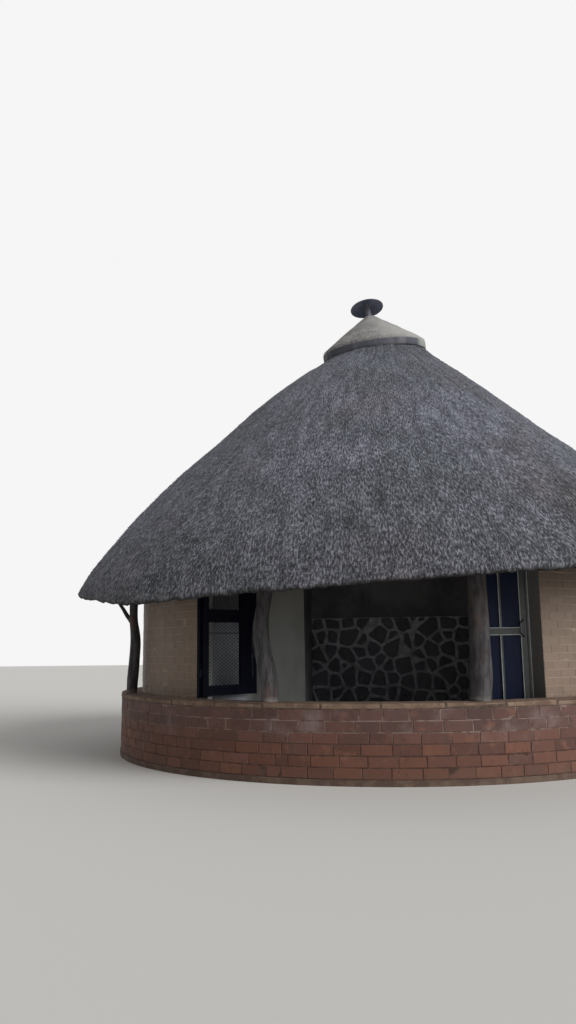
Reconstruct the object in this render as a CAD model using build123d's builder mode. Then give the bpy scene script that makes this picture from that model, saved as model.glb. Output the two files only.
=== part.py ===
from build123d import *
from math import cos, hypot, radians, sin, tan
import os

os.makedirs("parts", exist_ok=True)

# Rondavel hut: a round brick plinth with a coping ledge, a round painted room with a
# veranda recess at the front, crooked tree posts and a thatched cone roof with a cement cap.
# Millimetres. Z is up, the ground is Z 0, the veranda faces -Y, and the origin is the
# centre of the round walls on the ground. Bearings turn from the front (-Y) towards +X.

seat_gap = 0.3          # clearance of a piece that rests on a curved or sloping seat

# Round room wall
wall_radius = 3270.0
wall_thickness = 220.0
room_from = 31.5        # bearing of the wall end beside the door
room_to = 321.5         # bearing of the wall end beside the gate
room_segments = 5

# Plinth and low brick wall
course = 110.0          # one brick course with its joint
courses = 6
footing_height = 60.0
footing_proud = 14.0
low_wall_reach = 261.0  # face of the low brick wall beyond the face of the room wall
low_wall_gap = 1.0
coping_height = 57.0
coping_proud = 4.0
floor_level = 640.0
low_segments = 4

# Recess walls, set in from the front of the round wall
inner_wall = 110.0
recess_in = 2320.0      # stone clad wall
left_room_in = 1420.0   # pale wall
corner_x_front = -885.0
corner_x_back = -865.0
right_lean = 185.0      # the right wall runs out to the right by this much towards the back
wall_lap = 8.0          # the pale wall stops this far short of the round wall
dado_top = 1700.0
dado_thickness = 45.0

# Door in the right of the recess
door_in = 630.0         # outer face of the frame, from the front of the round wall
door_width = 480.0      # between the jambs
frame_depth = 50.0
jamb_width = 20.0
end_jamb = 29.8         # front face of the jamb against the round wall
frame_head = 40.0
door_gap = 5.0
sill_gap = 15.0
leaf_thickness = 35.0
stile = 66.0
door_top = 2480.0
top_rail = 80.0
bottom_rail = 95.0
mid_rail = 83.0
mid_rail_z = 1470.0
mullion = 26.0
mullion_in = 270.0      # from the right edge of the leaf to the middle of the mullion
glass = 5.0
handle_reach = 45.0
handle_lean = 42.0      # the bow of the handle is set over to the left
handle_slope = 36.0
handle_foot = 16.0
handle_bar = 12.0
handle_height = 175.0
handle_z = 1500.0
knuckle_radius = 7.0
knuckle_pin = 4.0
knuckle_length = 80.0
knuckle_off = 2.0
door_hinge_low = 220.0
door_hinge_high = 300.0
head_wall_slack = 12.0

# Mesh gate on the end of the left wall
gate_width = 805.0
gate_bottom = 800.0
gate_top = 2350.0
gate_thickness = 30.0
gate_angle = 48.6       # direction of the open leaf from +X
gate_stile = 77.0
gate_lock_panel = 245.0
gate_bottom_rail = 112.0
gate_mid_low = 1622.0
gate_mid_high = 1770.0
gate_top_rail = 95.0
gate_plate = 3.0
gate_off_wall = 42.0
gate_along_wall = 20.0
gate_jamb = 20.0
gate_hinge_low = 220.0
gate_hinge_high = 290.0
mesh_pitch = 120.0
mesh_bar = 6.0
gate_clear = 24.0       # the leaf starts this far from its pin
pin_radius = 8.0
sleeve_radius = 14.0
sleeve_length = 70.0
bolt_in = 75.0          # rod of the bolt, from the free edge of the leaf
bolt_length = 470.0
bolt_z = 1230.0
bolt_radius = 7.0
bolt_plate_width = 40.0
bolt_plate_height = 26.0

# Roof structure
roof_x = 70.0           # the roof sits a little to the right of the walls
eave_reach = 700.0      # underside of the thatch at eave_z, beyond the face of the room wall
eave_z = 2100.0
roof_run = 0.985        # radius lost for each unit of height
rafter_diameter = 90.0
rafters_count = 24
rafter_reach = 420.0
plate_width = 80.0
plate_height = 150.0
crown_radius = 600.0
crown_height = 220.0
crown_lip = 40.0
beam_in = 126.0         # middle of the beam, in from the face of the low brick wall
beam_diameter = 100.0
beam_from = -76.0
beam_to = 76.0

# Thatch: share of the roof height, thickness beyond the underside, place of the centre to the right and back
thatch_rings = [
    (-0.1183, 116.0, 235.0, 0.0),
    (0.0, 360.0, 235.0, 0.0),
    (0.1775, 491.0, 190.0, 0.0),
    (0.3846, 490.5, 105.0, 0.0),
    (0.5917, 415.0, 70.0, 15.0),
    (0.7988, 374.0, 68.0, 50.0),
    (0.9763, 236.0, 125.0, 90.0),
    (1.068, 236.0, 136.0, 108.0),
]
cut_z = 2150.0          # slanting plane that trims the eave, its height on the Z axis
cut_right = 0.060       # rise to the right
cut_back = 0.056        # rise to the back
tip_z = 1661.0          # second plane, where the eave turns up at the far left
tip_left = 0.1137       # rise to the left
tip_back = 0.050        # rise to the back
thatch_low = 1500.0     # the hollow under the thatch is cut from here
rafter_tuck = 45.0      # rafter ends stay this far above the eave cut

# Cement cap and rain cowl on the peak
cap_x = 59.0
cap_radius = 768.0
cap_skirt = 110.0
cap_wall = 40.0
cap_over = 215.0        # rim of the cap above the top of the hollow in the thatch
cap_rise = 510.0
cap_lean = 0.097        # fall to the left
cap_forward = 0.132     # fall to the front
stub_radius = 40.0
stub_height = 190.0     # from the tip of the cap to the sheet of the cowl
stub_left = 45.0        # how far the top of the stub stands to the left of its foot
cowl_radius = 245.0
cowl_rise = 120.0
cowl_sheet = 6.0
cowl_lean = 0.145       # fall to the left
cowl_back = 0.170       # fall to the back

# Tree posts: bearing, then rings of height share, side, out, radius
post_in = 119.0         # stance of the posts, in from the face of the low brick wall
post_rings = {
    "left": (-66.0, [(0, 0, 26, 73), (0.25, 12, 15, 72), (0.42, 8, 20, 68), (0.56, -6, 56, 56),
                     (0.72, 0, 66, 56), (1, 15, 38, 66)]),
    "middle": (-19.3, [(0, 0, 0, 92), (0.1, -6, 5, 98), (0.2, -40, 8, 94), (0.31, -94, 10, 92),
                       (0.44, -126, 18, 88), (0.56, -116, 18, 80), (0.68, -82, 15, 74), (1, -20, 0, 74)]),
    "right": (16.6, [(0, 0, 0, 104), (0.12, 18, 0, 118), (0.35, -4, 10, 104), (0.55, -14, 10, 106),
                     (0.75, -30, 10, 92), (1, -40, 0, 74)]),
    "far_right": (63.0, [(0, 0, 0, 92), (0.2, -16, 0, 84), (0.5, 12, 5, 80), (0.75, -8, 0, 78),
                         (1, 0, 0, 76)]),
}
branch_start = 0.47
branch_radius = 34.0
branch_tip = 20.0
branch_reach = 190.0
branch_rise = 290.0

# Derived sizes
low_wall_radius = wall_radius + low_wall_reach
low_wall_inner = wall_radius + low_wall_gap
low_wall_top = footing_height + courses * course
ledge = low_wall_top + coping_height
room_inner = wall_radius - wall_thickness
recess_y = recess_in - wall_radius
left_room_y = left_room_in - wall_radius
door_y = door_in - wall_radius
right_jamb_x = -door_y * tan(radians(room_from)) - end_jamb
right_x_front = right_jamb_x - door_width - jamb_width - inner_wall - seat_gap
right_x_back = right_x_front + right_lean
eave_radius = wall_radius + eave_reach
beam_radius = low_wall_radius - beam_in
post_stance = low_wall_radius - post_in
slant = hypot(1.0, 1.0 / roof_run)      # vertical measure of a distance square to the rafters


def roof_under(radius):
    """Height of the underside of the thatch at a radius from the roof axis."""
    return eave_z + (eave_radius - radius) / roof_run


def rafter_under(radius):
    return roof_under(radius) - (rafter_diameter + seat_gap) * slant


cavity_top = roof_under(crown_radius + crown_lip)
roof_height = cavity_top - eave_z
cap_z = cavity_top + cap_over
plate_outer = wall_radius - wall_thickness / 2 + plate_width / 2
wall_top = rafter_under(plate_outer) - seat_gap - plate_height
beam_z = rafter_under(beam_radius) - (beam_diameter / 2 + seat_gap) * slant
post_top = beam_z - beam_diameter / 2 - seat_gap


def bearing(angle):
    """Unit vector in plan for a bearing from the front."""
    return Vector(sin(radians(angle)), -cos(radians(angle)), 0)


def radial_plane(angle, centre_x=0.0):
    """Upright plane through an axis: x outwards along the bearing, y up."""
    out = bearing(angle)
    return Plane(origin=(centre_x, 0, 0), x_dir=out, z_dir=out.cross(Vector(0, 0, 1)))


def save(piece, label):
    piece.part.label = label
    export_step(piece.part, f"parts/{label}.step")


def ring_segment(inner, outer, low, high, start, sweep_angle, label, centre_x=0.0):
    """Rectangular section turned about the upright axis, from one bearing over an angle."""
    with BuildPart() as segment:
        with BuildSketch(radial_plane(start, centre_x)):
            with Locations(((inner + outer) / 2, (low + high) / 2)):
                Rectangle(outer - inner, high - low)
        revolve(axis=Axis((centre_x, 0, 0), (0, 0, 1)), revolution_arc=sweep_angle)
    save(segment, label)


def wall_piece(corners, low, high, label):
    """Upright wall piece from its plan corners."""
    with BuildPart() as wall:
        with BuildSketch(Plane.XY.offset(low)):
            with BuildLine():
                Polyline(*corners, close=True)
            make_face()
        extrude(amount=high - low)
    save(wall, label)


# Plinth
with BuildPart() as footing:
    with BuildSketch():
        Circle(low_wall_radius + footing_proud)
        Circle(low_wall_inner, mode=Mode.SUBTRACT)
    extrude(amount=footing_height)
save(footing, "footing_ring")

with BuildPart() as plinth:
    with BuildSketch():
        Circle(wall_radius)
    extrude(amount=floor_level)
save(plinth, "plinth_floor")

low_sweep = 360.0 / low_segments
for number in range(low_segments):
    start = -45.0 + number * low_sweep
    name = ("front", "right", "back", "left")[number]
    ring_segment(low_wall_inner, low_wall_radius, footing_height, low_wall_top, start, low_sweep,
                 f"low_wall_{name}")
    ring_segment(low_wall_inner, low_wall_radius + coping_proud, low_wall_top, ledge, start, low_sweep,
                 f"coping_{name}")

# Round room wall
room_sweep = (room_to - room_from) / room_segments
for number, name in enumerate(("right", "back_right", "back", "back_left", "left")):
    ring_segment(room_inner, wall_radius, floor_level, wall_top, room_from + number * room_sweep,
                 room_sweep, f"room_wall_{name}")

# Walls of the recess
left_room_back = left_room_y + inner_wall
left_end = wall_lap - (room_inner ** 2 - left_room_y ** 2) ** 0.5
left_end_back = wall_lap - (room_inner ** 2 - left_room_back ** 2) ** 0.5
corner_inner_x = corner_x_front - inner_wall
back_left_x = corner_x_back - inner_wall
back_right_x = right_x_back + inner_wall
wall_piece([(left_end, left_room_y), (corner_x_front, left_room_y), (corner_inner_x, left_room_back),
            (left_end_back, left_room_back)],
           floor_level, wall_top, "pale_wall")
wall_piece([(corner_x_front, left_room_y), (corner_x_back, recess_y), (back_left_x, recess_y),
            (corner_inner_x, left_room_back)],
           floor_level, wall_top, "return_wall_left")
wall_piece([(back_left_x, recess_y), (back_right_x, recess_y), (back_right_x, recess_y + inner_wall),
            (back_left_x, recess_y + inner_wall)],
           floor_level, wall_top, "recess_back_wall")
wall_piece([(right_x_front, door_y), (right_x_front + inner_wall, door_y), (back_right_x, recess_y),
            (right_x_back, recess_y)],
           floor_level, wall_top, "return_wall_right")

right_slope = right_lean / (recess_y - door_y)

# The stone dado follows the two side walls at its ends
dado_y = recess_y - dado_thickness
dado_left = corner_x_back + (corner_x_front - corner_x_back) * dado_thickness / (recess_y - left_room_y)
dado_right = right_x_back - right_slope * dado_thickness
with BuildPart() as dado:
    with BuildSketch(Plane.XY.offset(floor_level)):
        with BuildLine():
            Polyline((corner_x_back, recess_y), (right_x_back, recess_y), (dado_right, dado_y),
                     (dado_left, dado_y), close=True)
        make_face()
    extrude(amount=dado_top - floor_level)
save(dado, "stone_dado")

# Door frame: its right jamb is trimmed to the slanting end of the round wall
frame_left = right_x_front + inner_wall + right_slope * frame_depth + seat_gap
wall_end = radial_plane(room_from)
leaf_left = frame_left + jamb_width + door_gap
leaf_right = right_jamb_x - door_gap
leaf_low = floor_level + sill_gap
leaf_front = door_y + door_gap
door_pin = (leaf_left - door_gap / 2, door_y + frame_depth + knuckle_radius + knuckle_off)

left_jamb_x = frame_left + jamb_width
opening_top = door_top + door_gap
with BuildPart() as door_frame:
    with BuildSketch(Plane.XZ.offset(-door_y)):
        with Locations(((frame_left + wall_radius) / 2, (floor_level + door_top + frame_head) / 2)):
            Rectangle(wall_radius - frame_left, door_top + frame_head - floor_level)
        with Locations(((left_jamb_x + right_jamb_x) / 2, (floor_level + opening_top) / 2)):
            Rectangle(right_jamb_x - left_jamb_x, opening_top - floor_level, mode=Mode.SUBTRACT)
    extrude(amount=-frame_depth)
    split(bisect_by=wall_end.offset(seat_gap), keep=Keep.TOP)
save(door_frame, "door_frame")

with BuildPart() as door_head:
    with BuildSketch(Plane.XY.offset(door_top + frame_head)):
        with BuildLine():
            Polyline((frame_left, door_y), (wall_radius, door_y), (wall_radius, door_y + inner_wall),
                     (frame_left + head_wall_slack, door_y + inner_wall), close=True)
        make_face()
    extrude(amount=wall_top - door_top - frame_head)
    split(bisect_by=wall_end.offset(seat_gap), keep=Keep.TOP)
save(door_head, "door_head_wall")

# Door leaf with a mullion and a mid rail
pane_left = leaf_left + stile
pane_right = leaf_right - stile
pane_low = leaf_low + bottom_rail
pane_high = door_top - top_rail
mullion_x = leaf_right - mullion_in
pane_places = []
for start, end in ((pane_left, mullion_x - mullion / 2), (mullion_x + mullion / 2, pane_right)):
    for low, high in ((pane_low, mid_rail_z - mid_rail / 2), (mid_rail_z + mid_rail / 2, pane_high)):
        pane_places.append(((start + end) / 2, (low + high) / 2, end - start, high - low))

with BuildPart() as leaf:
    with BuildSketch(Plane.XZ.offset(-leaf_front)):
        with Locations(((leaf_left + leaf_right) / 2, (leaf_low + door_top) / 2)):
            Rectangle(leaf_right - leaf_left, door_top - leaf_low)
        for x, z, width, height in pane_places:
            with Locations((x, z)):
                Rectangle(width, height, mode=Mode.SUBTRACT)
    extrude(amount=-leaf_thickness)
save(leaf, "door_leaf")

with BuildPart() as panes:
    with BuildSketch(Plane.XZ.offset(-leaf_front - (leaf_thickness - glass) / 2)):
        for x, z, width, height in pane_places:
            with Locations((x, z)):
                Rectangle(width, height)
    extrude(amount=-glass)
save(panes, "door_panes")

knuckle_heights = (leaf_low + door_hinge_low, door_top - door_hinge_high)
lug_x = door_pin[0] - (knuckle_radius + door_gap) / 2
lug_y = door_y + frame_depth + knuckle_radius / 2
with BuildPart() as door_hinges:
    for z in knuckle_heights:
        with BuildSketch(Plane.XY.offset(z)):
            with Locations(door_pin):
                Circle(knuckle_pin)
        extrude(amount=knuckle_length)
        with BuildSketch(Plane.XY.offset(z - knuckle_length / 2)):
            with Locations(door_pin):
                Circle(knuckle_radius)
            with Locations((lug_x, lug_y)):
                Rectangle(knuckle_radius, knuckle_radius)
        extrude(amount=knuckle_length / 2)
save(door_hinges, "door_hinge_pins")

with BuildPart() as door_knuckles:
    for z in knuckle_heights:
        with BuildSketch(Plane.XY.offset(z + seat_gap)):
            with Locations((door_pin[0] + knuckle_length / 4, leaf_front + leaf_thickness + knuckle_radius)):
                Rectangle(knuckle_length / 2, 2 * knuckle_radius)
            with Locations(door_pin):
                Circle(knuckle_radius)
                Circle(knuckle_pin + seat_gap, mode=Mode.SUBTRACT)
        extrude(amount=knuckle_length - seat_gap)
save(door_knuckles, "door_knuckles")

# Handle: two short feet square to the leaf, sloping arms and an upright grip
handle_x = leaf_right - stile / 2
grip_x = handle_x - handle_lean
grip_y = leaf_front - handle_reach
foot_y = leaf_front - handle_foot
handle_low = handle_z - handle_height / 2
handle_high = handle_z + handle_height / 2
with BuildPart() as handle:
    with BuildLine() as bow:
        FilletPolyline((handle_x, leaf_front, handle_low), (handle_x, foot_y, handle_low),
                       (grip_x, grip_y, handle_low + handle_slope),
                       (grip_x, grip_y, handle_high - handle_slope),
                       (handle_x, foot_y, handle_high), (handle_x, leaf_front, handle_high),
                       radius=handle_bar)
    with BuildSketch(Plane(origin=bow.line @ 0, z_dir=bow.line % 0)):
        Circle(handle_bar / 2)
    sweep()
save(handle, "door_handle")

# Mesh gate: pinned to a jamb on the end of the left wall
end_out = bearing(room_to)
off_wall = Vector(-end_out.Y, end_out.X, 0)
gate_corner = end_out * (wall_radius - gate_along_wall)
gate_pin = gate_corner + off_wall * gate_off_wall
gate_x = Vector(cos(radians(gate_angle)), sin(radians(gate_angle)), 0)
gate_plane = Plane(origin=gate_pin, x_dir=gate_x, z_dir=gate_x.cross(Vector(0, 0, 1)))
pin_heights = (gate_bottom + gate_hinge_low, gate_top - gate_hinge_high)
mesh_left = gate_clear + gate_stile
mesh_right = gate_width - gate_lock_panel
mesh_panels = [(gate_bottom + gate_bottom_rail, gate_mid_low), (gate_mid_high, gate_top - gate_top_rail)]

jamb_plane = Plane(origin=gate_corner, x_dir=off_wall, z_dir=(0, 0, 1))
with BuildPart() as gate_jamb_post:
    with BuildSketch(jamb_plane.offset(floor_level)):
        with Locations((gate_jamb / 2, 0)):
            Rectangle(gate_jamb, gate_jamb)
    extrude(amount=wall_top - floor_level)
    for z in pin_heights:
        with BuildSketch(jamb_plane.offset(z)):
            with Locations(((gate_jamb + gate_off_wall) / 2, 0)):
                Rectangle(gate_off_wall - gate_jamb, 2 * pin_radius)
            with Locations((gate_off_wall, 0)):
                Circle(sleeve_radius)
        extrude(amount=-gate_jamb / 3)
        with BuildSketch(jamb_plane.offset(z)):
            with Locations((gate_off_wall, 0)):
                Circle(pin_radius)
        extrude(amount=sleeve_length)
save(gate_jamb_post, "gate_jamb")

with BuildPart() as gate:
    with BuildSketch(gate_plane):
        with Locations(((gate_clear + gate_width) / 2, (gate_bottom + gate_top) / 2)):
            Rectangle(gate_width - gate_clear, gate_top - gate_bottom)
        for low, high in mesh_panels:
            with Locations(((mesh_left + mesh_right) / 2, (low + high) / 2)):
                Rectangle(mesh_right - mesh_left, high - low, mode=Mode.SUBTRACT)
    extrude(amount=gate_thickness / 2, both=True)
    for z in pin_heights:
        with BuildSketch(Plane.XY.offset(z + seat_gap)):
            with Locations((gate_pin.X, gate_pin.Y)):
                Circle(sleeve_radius)
            arm = gate_pin + gate_x * gate_clear / 2
            with Locations(Location((arm.X, arm.Y), gate_angle)):
                Rectangle(gate_clear, sleeve_radius)
            with Locations((gate_pin.X, gate_pin.Y)):
                Circle(pin_radius + seat_gap, mode=Mode.SUBTRACT)
        extrude(amount=sleeve_length - seat_gap)
save(gate, "gate_frame")

with BuildPart() as gate_bolt:
    with BuildSketch(gate_plane.offset(gate_thickness / 2)):
        with Locations((gate_width - bolt_in, bolt_z)):
            Rectangle(bolt_radius * 2, bolt_length)
            Rectangle(bolt_plate_width, bolt_plate_height)
    extrude(amount=bolt_radius * 2)
save(gate_bolt, "gate_bolt")

# Diamond mesh: slanting bars clipped to each opening, as two welded panels
mesh_high = gate_top - gate_bottom
mesh_wide = mesh_right - mesh_left
bar_shift = mesh_pitch * hypot(1.0, 1.0)
bar_count = int((mesh_high + mesh_wide) / bar_shift) + 2
with BuildPart() as mesh:
    with BuildSketch(gate_plane):
        for lean in (-45.0, 45.0):
            for number in range(-bar_count, bar_count + 1):
                with Locations(Location(((mesh_left + mesh_right) / 2 + number * bar_shift,
                                         (gate_bottom + gate_top) / 2), lean)):
                    Rectangle(mesh_bar, 2.0 * (mesh_high + mesh_wide))
        with BuildSketch(mode=Mode.PRIVATE) as holes:
            for low, high in mesh_panels:
                with Locations(((mesh_left + mesh_right) / 2, (low + high) / 2)):
                    Rectangle(mesh_wide, high - low)
        add(holes.sketch_local, mode=Mode.INTERSECT)
    extrude(amount=gate_plate / 2, both=True)
save(mesh, "gate_mesh")

# Tree posts: crooked trunks from ring to ring
for name, (angle, rings) in post_rings.items():
    foot = bearing(angle) * post_stance
    side = Vector(cos(radians(angle)), sin(radians(angle)), 0)
    top = bearing(angle) * beam_radius + Vector(roof_x, 0, 0)
    height = post_top - ledge
    with BuildPart() as post:
        for share, across, outwards, radius in rings:
            centre = foot + (top - foot) * share + side * across + bearing(angle) * outwards
            with BuildSketch(Plane(origin=(centre.X, centre.Y, ledge + share * height))):
                Circle(radius)
        loft()
        if name == "left":
            fork = foot + (top - foot) * branch_start + side * rings[2][1]
            fork_z = ledge + branch_start * height
            with BuildLine() as limb:
                Line((fork.X, fork.Y, fork_z), (fork.X - branch_reach, fork.Y, fork_z + branch_rise))
            for share, radius in ((0, branch_radius), (1, branch_tip)):
                with BuildSketch(Plane(origin=limb.line @ share, z_dir=limb.line % share)):
                    Circle(radius)
            loft()
    save(post, f"post_{name}")

# Beam over the posts, wall plate and rafters
with BuildPart() as beam:
    with BuildSketch(radial_plane(beam_from, roof_x)):
        with Locations((beam_radius, beam_z)):
            Circle(beam_diameter / 2)
    revolve(axis=Axis((roof_x, 0, 0), (0, 0, 1)), revolution_arc=beam_to - beam_from)
save(beam, "veranda_beam")

with BuildPart() as plate:
    with BuildSketch(Plane(origin=(roof_x, 0, wall_top))):
        Circle(plate_outer)
        Circle(plate_outer - plate_width, mode=Mode.SUBTRACT)
    extrude(amount=plate_height)
save(plate, "wall_plate")

eave_cuts = [Plane(origin=(0, 0, cut_z), z_dir=(-cut_right, -cut_back, 1)),
             Plane(origin=(0, 0, tip_z), z_dir=(tip_left, -tip_back, 1))]
rafter_low = eave_radius + rafter_reach
rafter_end = crown_radius + rafter_diameter / 2 / (slant * roof_run) + seat_gap
rafter_axis_drop = (rafter_diameter / 2 + seat_gap) * slant
with BuildPart() as rafters:
    for number in range(rafters_count):
        out = bearing(number * 360.0 / rafters_count)
        foot = Vector(roof_x, 0, roof_under(rafter_low) - rafter_axis_drop) + out * rafter_low
        peak = Vector(roof_x, 0, roof_under(rafter_end) - rafter_axis_drop) + out * rafter_end
        with BuildSketch(Plane(origin=foot, z_dir=peak - foot)):
            Circle(rafter_diameter / 2)
        extrude(amount=(peak - foot).length)
    for eave_cut in eave_cuts:
        split(bisect_by=eave_cut.offset(rafter_tuck), keep=Keep.TOP)
save(rafters, "rafters")

crown_top = cavity_top - seat_gap
with BuildPart() as crown:
    with BuildSketch(Plane(origin=(roof_x, 0, crown_top))):
        Circle(crown_radius)
    extrude(amount=-crown_height)
save(crown, "crown_block")

# Thatch: a bell shaped outside over a straight cone inside, trimmed on a slant at the eave
cap_plane = Plane(origin=(cap_x, 0, cap_z), x_dir=(1, 0, cap_lean), z_dir=(-cap_lean, -cap_forward, 1))
with BuildPart() as thatch:
    for share, thickness, right, back in thatch_rings:
        rise = share * roof_height
        with BuildSketch(Plane(origin=(right, back, eave_z + rise))):
            Circle(eave_radius - rise * roof_run + thickness)
    loft()
    with BuildSketch(Plane(origin=(roof_x, 0, 0), x_dir=(1, 0, 0), z_dir=(0, -1, 0))):
        with BuildLine():
            Polyline((0, thatch_low), (eave_radius + (eave_z - thatch_low) * roof_run, thatch_low),
                     (crown_radius + crown_lip, cavity_top), (0, cavity_top), close=True)
        make_face()
    revolve(axis=Axis((roof_x, 0, 0), (0, 0, 1)), mode=Mode.SUBTRACT)
    for eave_cut in eave_cuts:
        split(bisect_by=eave_cut, keep=Keep.TOP)
    with BuildSketch(cap_plane.offset(-cap_skirt)):
        Circle(2 * cap_radius)
        Circle(cap_radius - cap_wall - seat_gap, mode=Mode.SUBTRACT)
    extrude(amount=cap_rise, mode=Mode.SUBTRACT)
    with BuildSketch(cap_plane.offset(-cap_wall - seat_gap)):
        Circle(2 * cap_radius)
    extrude(amount=cap_rise, mode=Mode.SUBTRACT)
save(thatch, "thatch")

# Cement cap: a shallow cone with an upright skirt, hollow below
skirt_inner = cap_radius - cap_wall
with BuildPart() as cap:
    with BuildSketch(Plane(origin=cap_plane.origin, x_dir=cap_plane.x_dir, z_dir=-cap_plane.y_dir)):
        with BuildLine():
            Polyline((0, cap_rise), (cap_radius, 0), (cap_radius, -cap_skirt + seat_gap),
                     (skirt_inner, -cap_skirt + seat_gap), (skirt_inner, -cap_wall),
                     (0, cap_rise - cap_wall * 2), close=True)
        make_face()
    revolve(axis=Axis(cap_plane.origin, cap_plane.z_dir))
save(cap, "roof_cap")

stub_foot = cap_rise * (1 - 2 * stub_radius / cap_radius)
cap_tip = cap_plane.origin + cap_plane.z_dir * cap_rise
stub_start = cap_plane.origin + cap_plane.z_dir * stub_foot
cowl_seat = cap_tip + Vector(-stub_left, 0, stub_height)
cowl_plane = Plane(origin=cowl_seat, x_dir=(1, 0, cowl_lean), z_dir=(-cowl_lean, cowl_back, 1))
with BuildPart() as stub:
    with BuildSketch(Plane(origin=stub_start, z_dir=cowl_seat - stub_start)):
        Circle(stub_radius)
    extrude(amount=(cowl_seat - stub_start).length + stub_radius)
    with BuildSketch(Plane(origin=cap_plane.origin, x_dir=cap_plane.x_dir, z_dir=-cap_plane.y_dir)):
        with BuildLine():
            Polyline((0, 0), (0, cap_rise + seat_gap), (cap_radius, seat_gap), (cap_radius, 0), close=True)
        make_face()
    revolve(axis=Axis(cap_plane.origin, cap_plane.z_dir), mode=Mode.SUBTRACT)
    split(bisect_by=cowl_plane, keep=Keep.BOTTOM)
save(stub, "cowl_stub")

cowl_low = -cowl_rise / 2
with BuildPart() as cowl:
    with BuildSketch(Plane(origin=cowl_plane.origin, x_dir=cowl_plane.x_dir, z_dir=-cowl_plane.y_dir)):
        with BuildLine():
            Polyline((0, seat_gap), (2 * stub_radius, seat_gap), (cowl_radius, cowl_low),
                     (cowl_radius, cowl_low + cowl_sheet), (0, cowl_rise / 2), close=True)
        make_face()
    revolve(axis=Axis(cowl_plane.origin, cowl_plane.z_dir))
save(cowl, "rain_cowl")
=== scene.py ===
from math import ceil, cos, pi, radians, sin

import bpy
import numpy as np
from mathutils import Matrix, Vector


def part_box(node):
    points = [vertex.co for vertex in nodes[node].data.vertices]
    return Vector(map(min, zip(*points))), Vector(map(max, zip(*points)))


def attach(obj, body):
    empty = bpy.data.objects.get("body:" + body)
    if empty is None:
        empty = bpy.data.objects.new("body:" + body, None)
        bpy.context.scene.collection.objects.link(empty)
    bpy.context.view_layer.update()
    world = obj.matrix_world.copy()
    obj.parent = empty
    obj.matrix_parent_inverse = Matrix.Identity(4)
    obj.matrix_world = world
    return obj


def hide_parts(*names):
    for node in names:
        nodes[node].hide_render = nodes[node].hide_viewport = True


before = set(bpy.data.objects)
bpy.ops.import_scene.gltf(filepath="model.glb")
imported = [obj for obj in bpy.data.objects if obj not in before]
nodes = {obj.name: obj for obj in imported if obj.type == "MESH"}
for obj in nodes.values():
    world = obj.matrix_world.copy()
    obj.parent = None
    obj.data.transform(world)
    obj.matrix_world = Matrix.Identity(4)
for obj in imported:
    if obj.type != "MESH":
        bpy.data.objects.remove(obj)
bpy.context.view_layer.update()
print("frame loaded:", len(nodes), "nodes")


# measures
def nodeBox(name):
    # the low and the high corner of a node
    low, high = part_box(name)
    return np.array(low), np.array(high)


def unit(v):
    # vectors divided by their length
    return v / np.linalg.norm(v, axis=-1, keepdims=True)


def turns(count):
    # angles that share a full turn evenly
    return np.arange(count) / count * 2 * pi


# surfaces
def smoothCurve(knots, values, at):
    # cubic through the knots; its slope at a knot is that between the two neighbours
    knots, values = np.asarray(knots, float), np.asarray(values, float)
    slopes = np.gradient(values, knots)
    i = np.clip(np.searchsorted(knots, at) - 1, 0, len(knots) - 2)
    step = knots[i + 1] - knots[i]
    t = (at - knots[i]) / step
    return ((1 + 2 * t) * (1 - t) ** 2 * values[i] + t * (1 - t) ** 2 * step * slopes[i]
            + t * t * (3 - 2 * t) * values[i + 1] - t * t * (1 - t) * step * slopes[i + 1])


def softNoise(u, v, across, along, seed):
    # random heights -1..1 on an across x along lattice, blended smoothly; u 0..1 wraps, v 0..1 doesn't
    draw = np.random.default_rng(seed)
    heights = draw.uniform(-1, 1, (along + 2, across))
    x, y = (u % 1) * across, np.clip(v, 0, 1) * along
    i, j = np.floor(x).astype(int), np.floor(y).astype(int)
    a, b = x - i, y - j
    a, b = a * a * (3 - 2 * a), b * b * (3 - 2 * b)
    left, right = i % across, (i + 1) % across
    return ((heights[j, left] * (1 - a) + heights[j, right] * a) * (1 - b)
            + (heights[j + 1, left] * (1 - a) + heights[j + 1, right] * a) * b)


def gridFaces(rows, columns, wrap=True):
    # quads between the neighbours of a grid numbered row by row; wrap joins the last column to the first
    r = np.arange(rows - 1)[:, None]
    c = np.arange(columns if wrap else columns - 1)[None, :]
    n = (c + 1) % columns
    quads = [r * columns + c, (r + 1) * columns + c, (r + 1) * columns + n, r * columns + n]
    return np.stack(np.broadcast_arrays(*quads), -1).reshape(-1, 4)


def cappedGrid(grid):
    # a grid whose columns wrap, closed by a point in the middle of its first and last row
    rows, columns = grid.shape[:2]
    points = np.concatenate([grid.reshape(-1, 3), grid[[0, -1]].mean(1)])
    c = np.arange(columns)
    n = (c + 1) % columns
    first = np.stack([np.full(columns, rows * columns), c, n], -1)
    last = (rows - 1) * columns
    final = np.stack([np.full(columns, rows * columns + 1), last + n, last + c], -1)
    return points, [gridFaces(rows, columns), first, final]


def tube(path, radii, sides=10, reference=(0, 0, 1), shape=None):
    # a circle of the given radius square to the path at each of its points; shape(u, v) adds to the radius
    path = np.asarray(path, float)
    along = unit(np.gradient(path, axis=0))
    side = unit(np.cross(along, np.asarray(reference, float)))
    other = np.cross(side, along)
    turn = np.arange(sides) / sides
    radius = np.broadcast_to(np.asarray(radii, float), (len(path),))[:, None] + np.zeros(sides)
    if shape is not None:
        radius = radius + shape(turn[None, :], np.linspace(0, 1, len(path))[:, None])
    ring = (np.cos(2 * pi * turn)[None, :, None] * side[:, None]
            + np.sin(2 * pi * turn)[None, :, None] * other[:, None])
    return path[:, None] + radius[..., None] * ring


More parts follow.
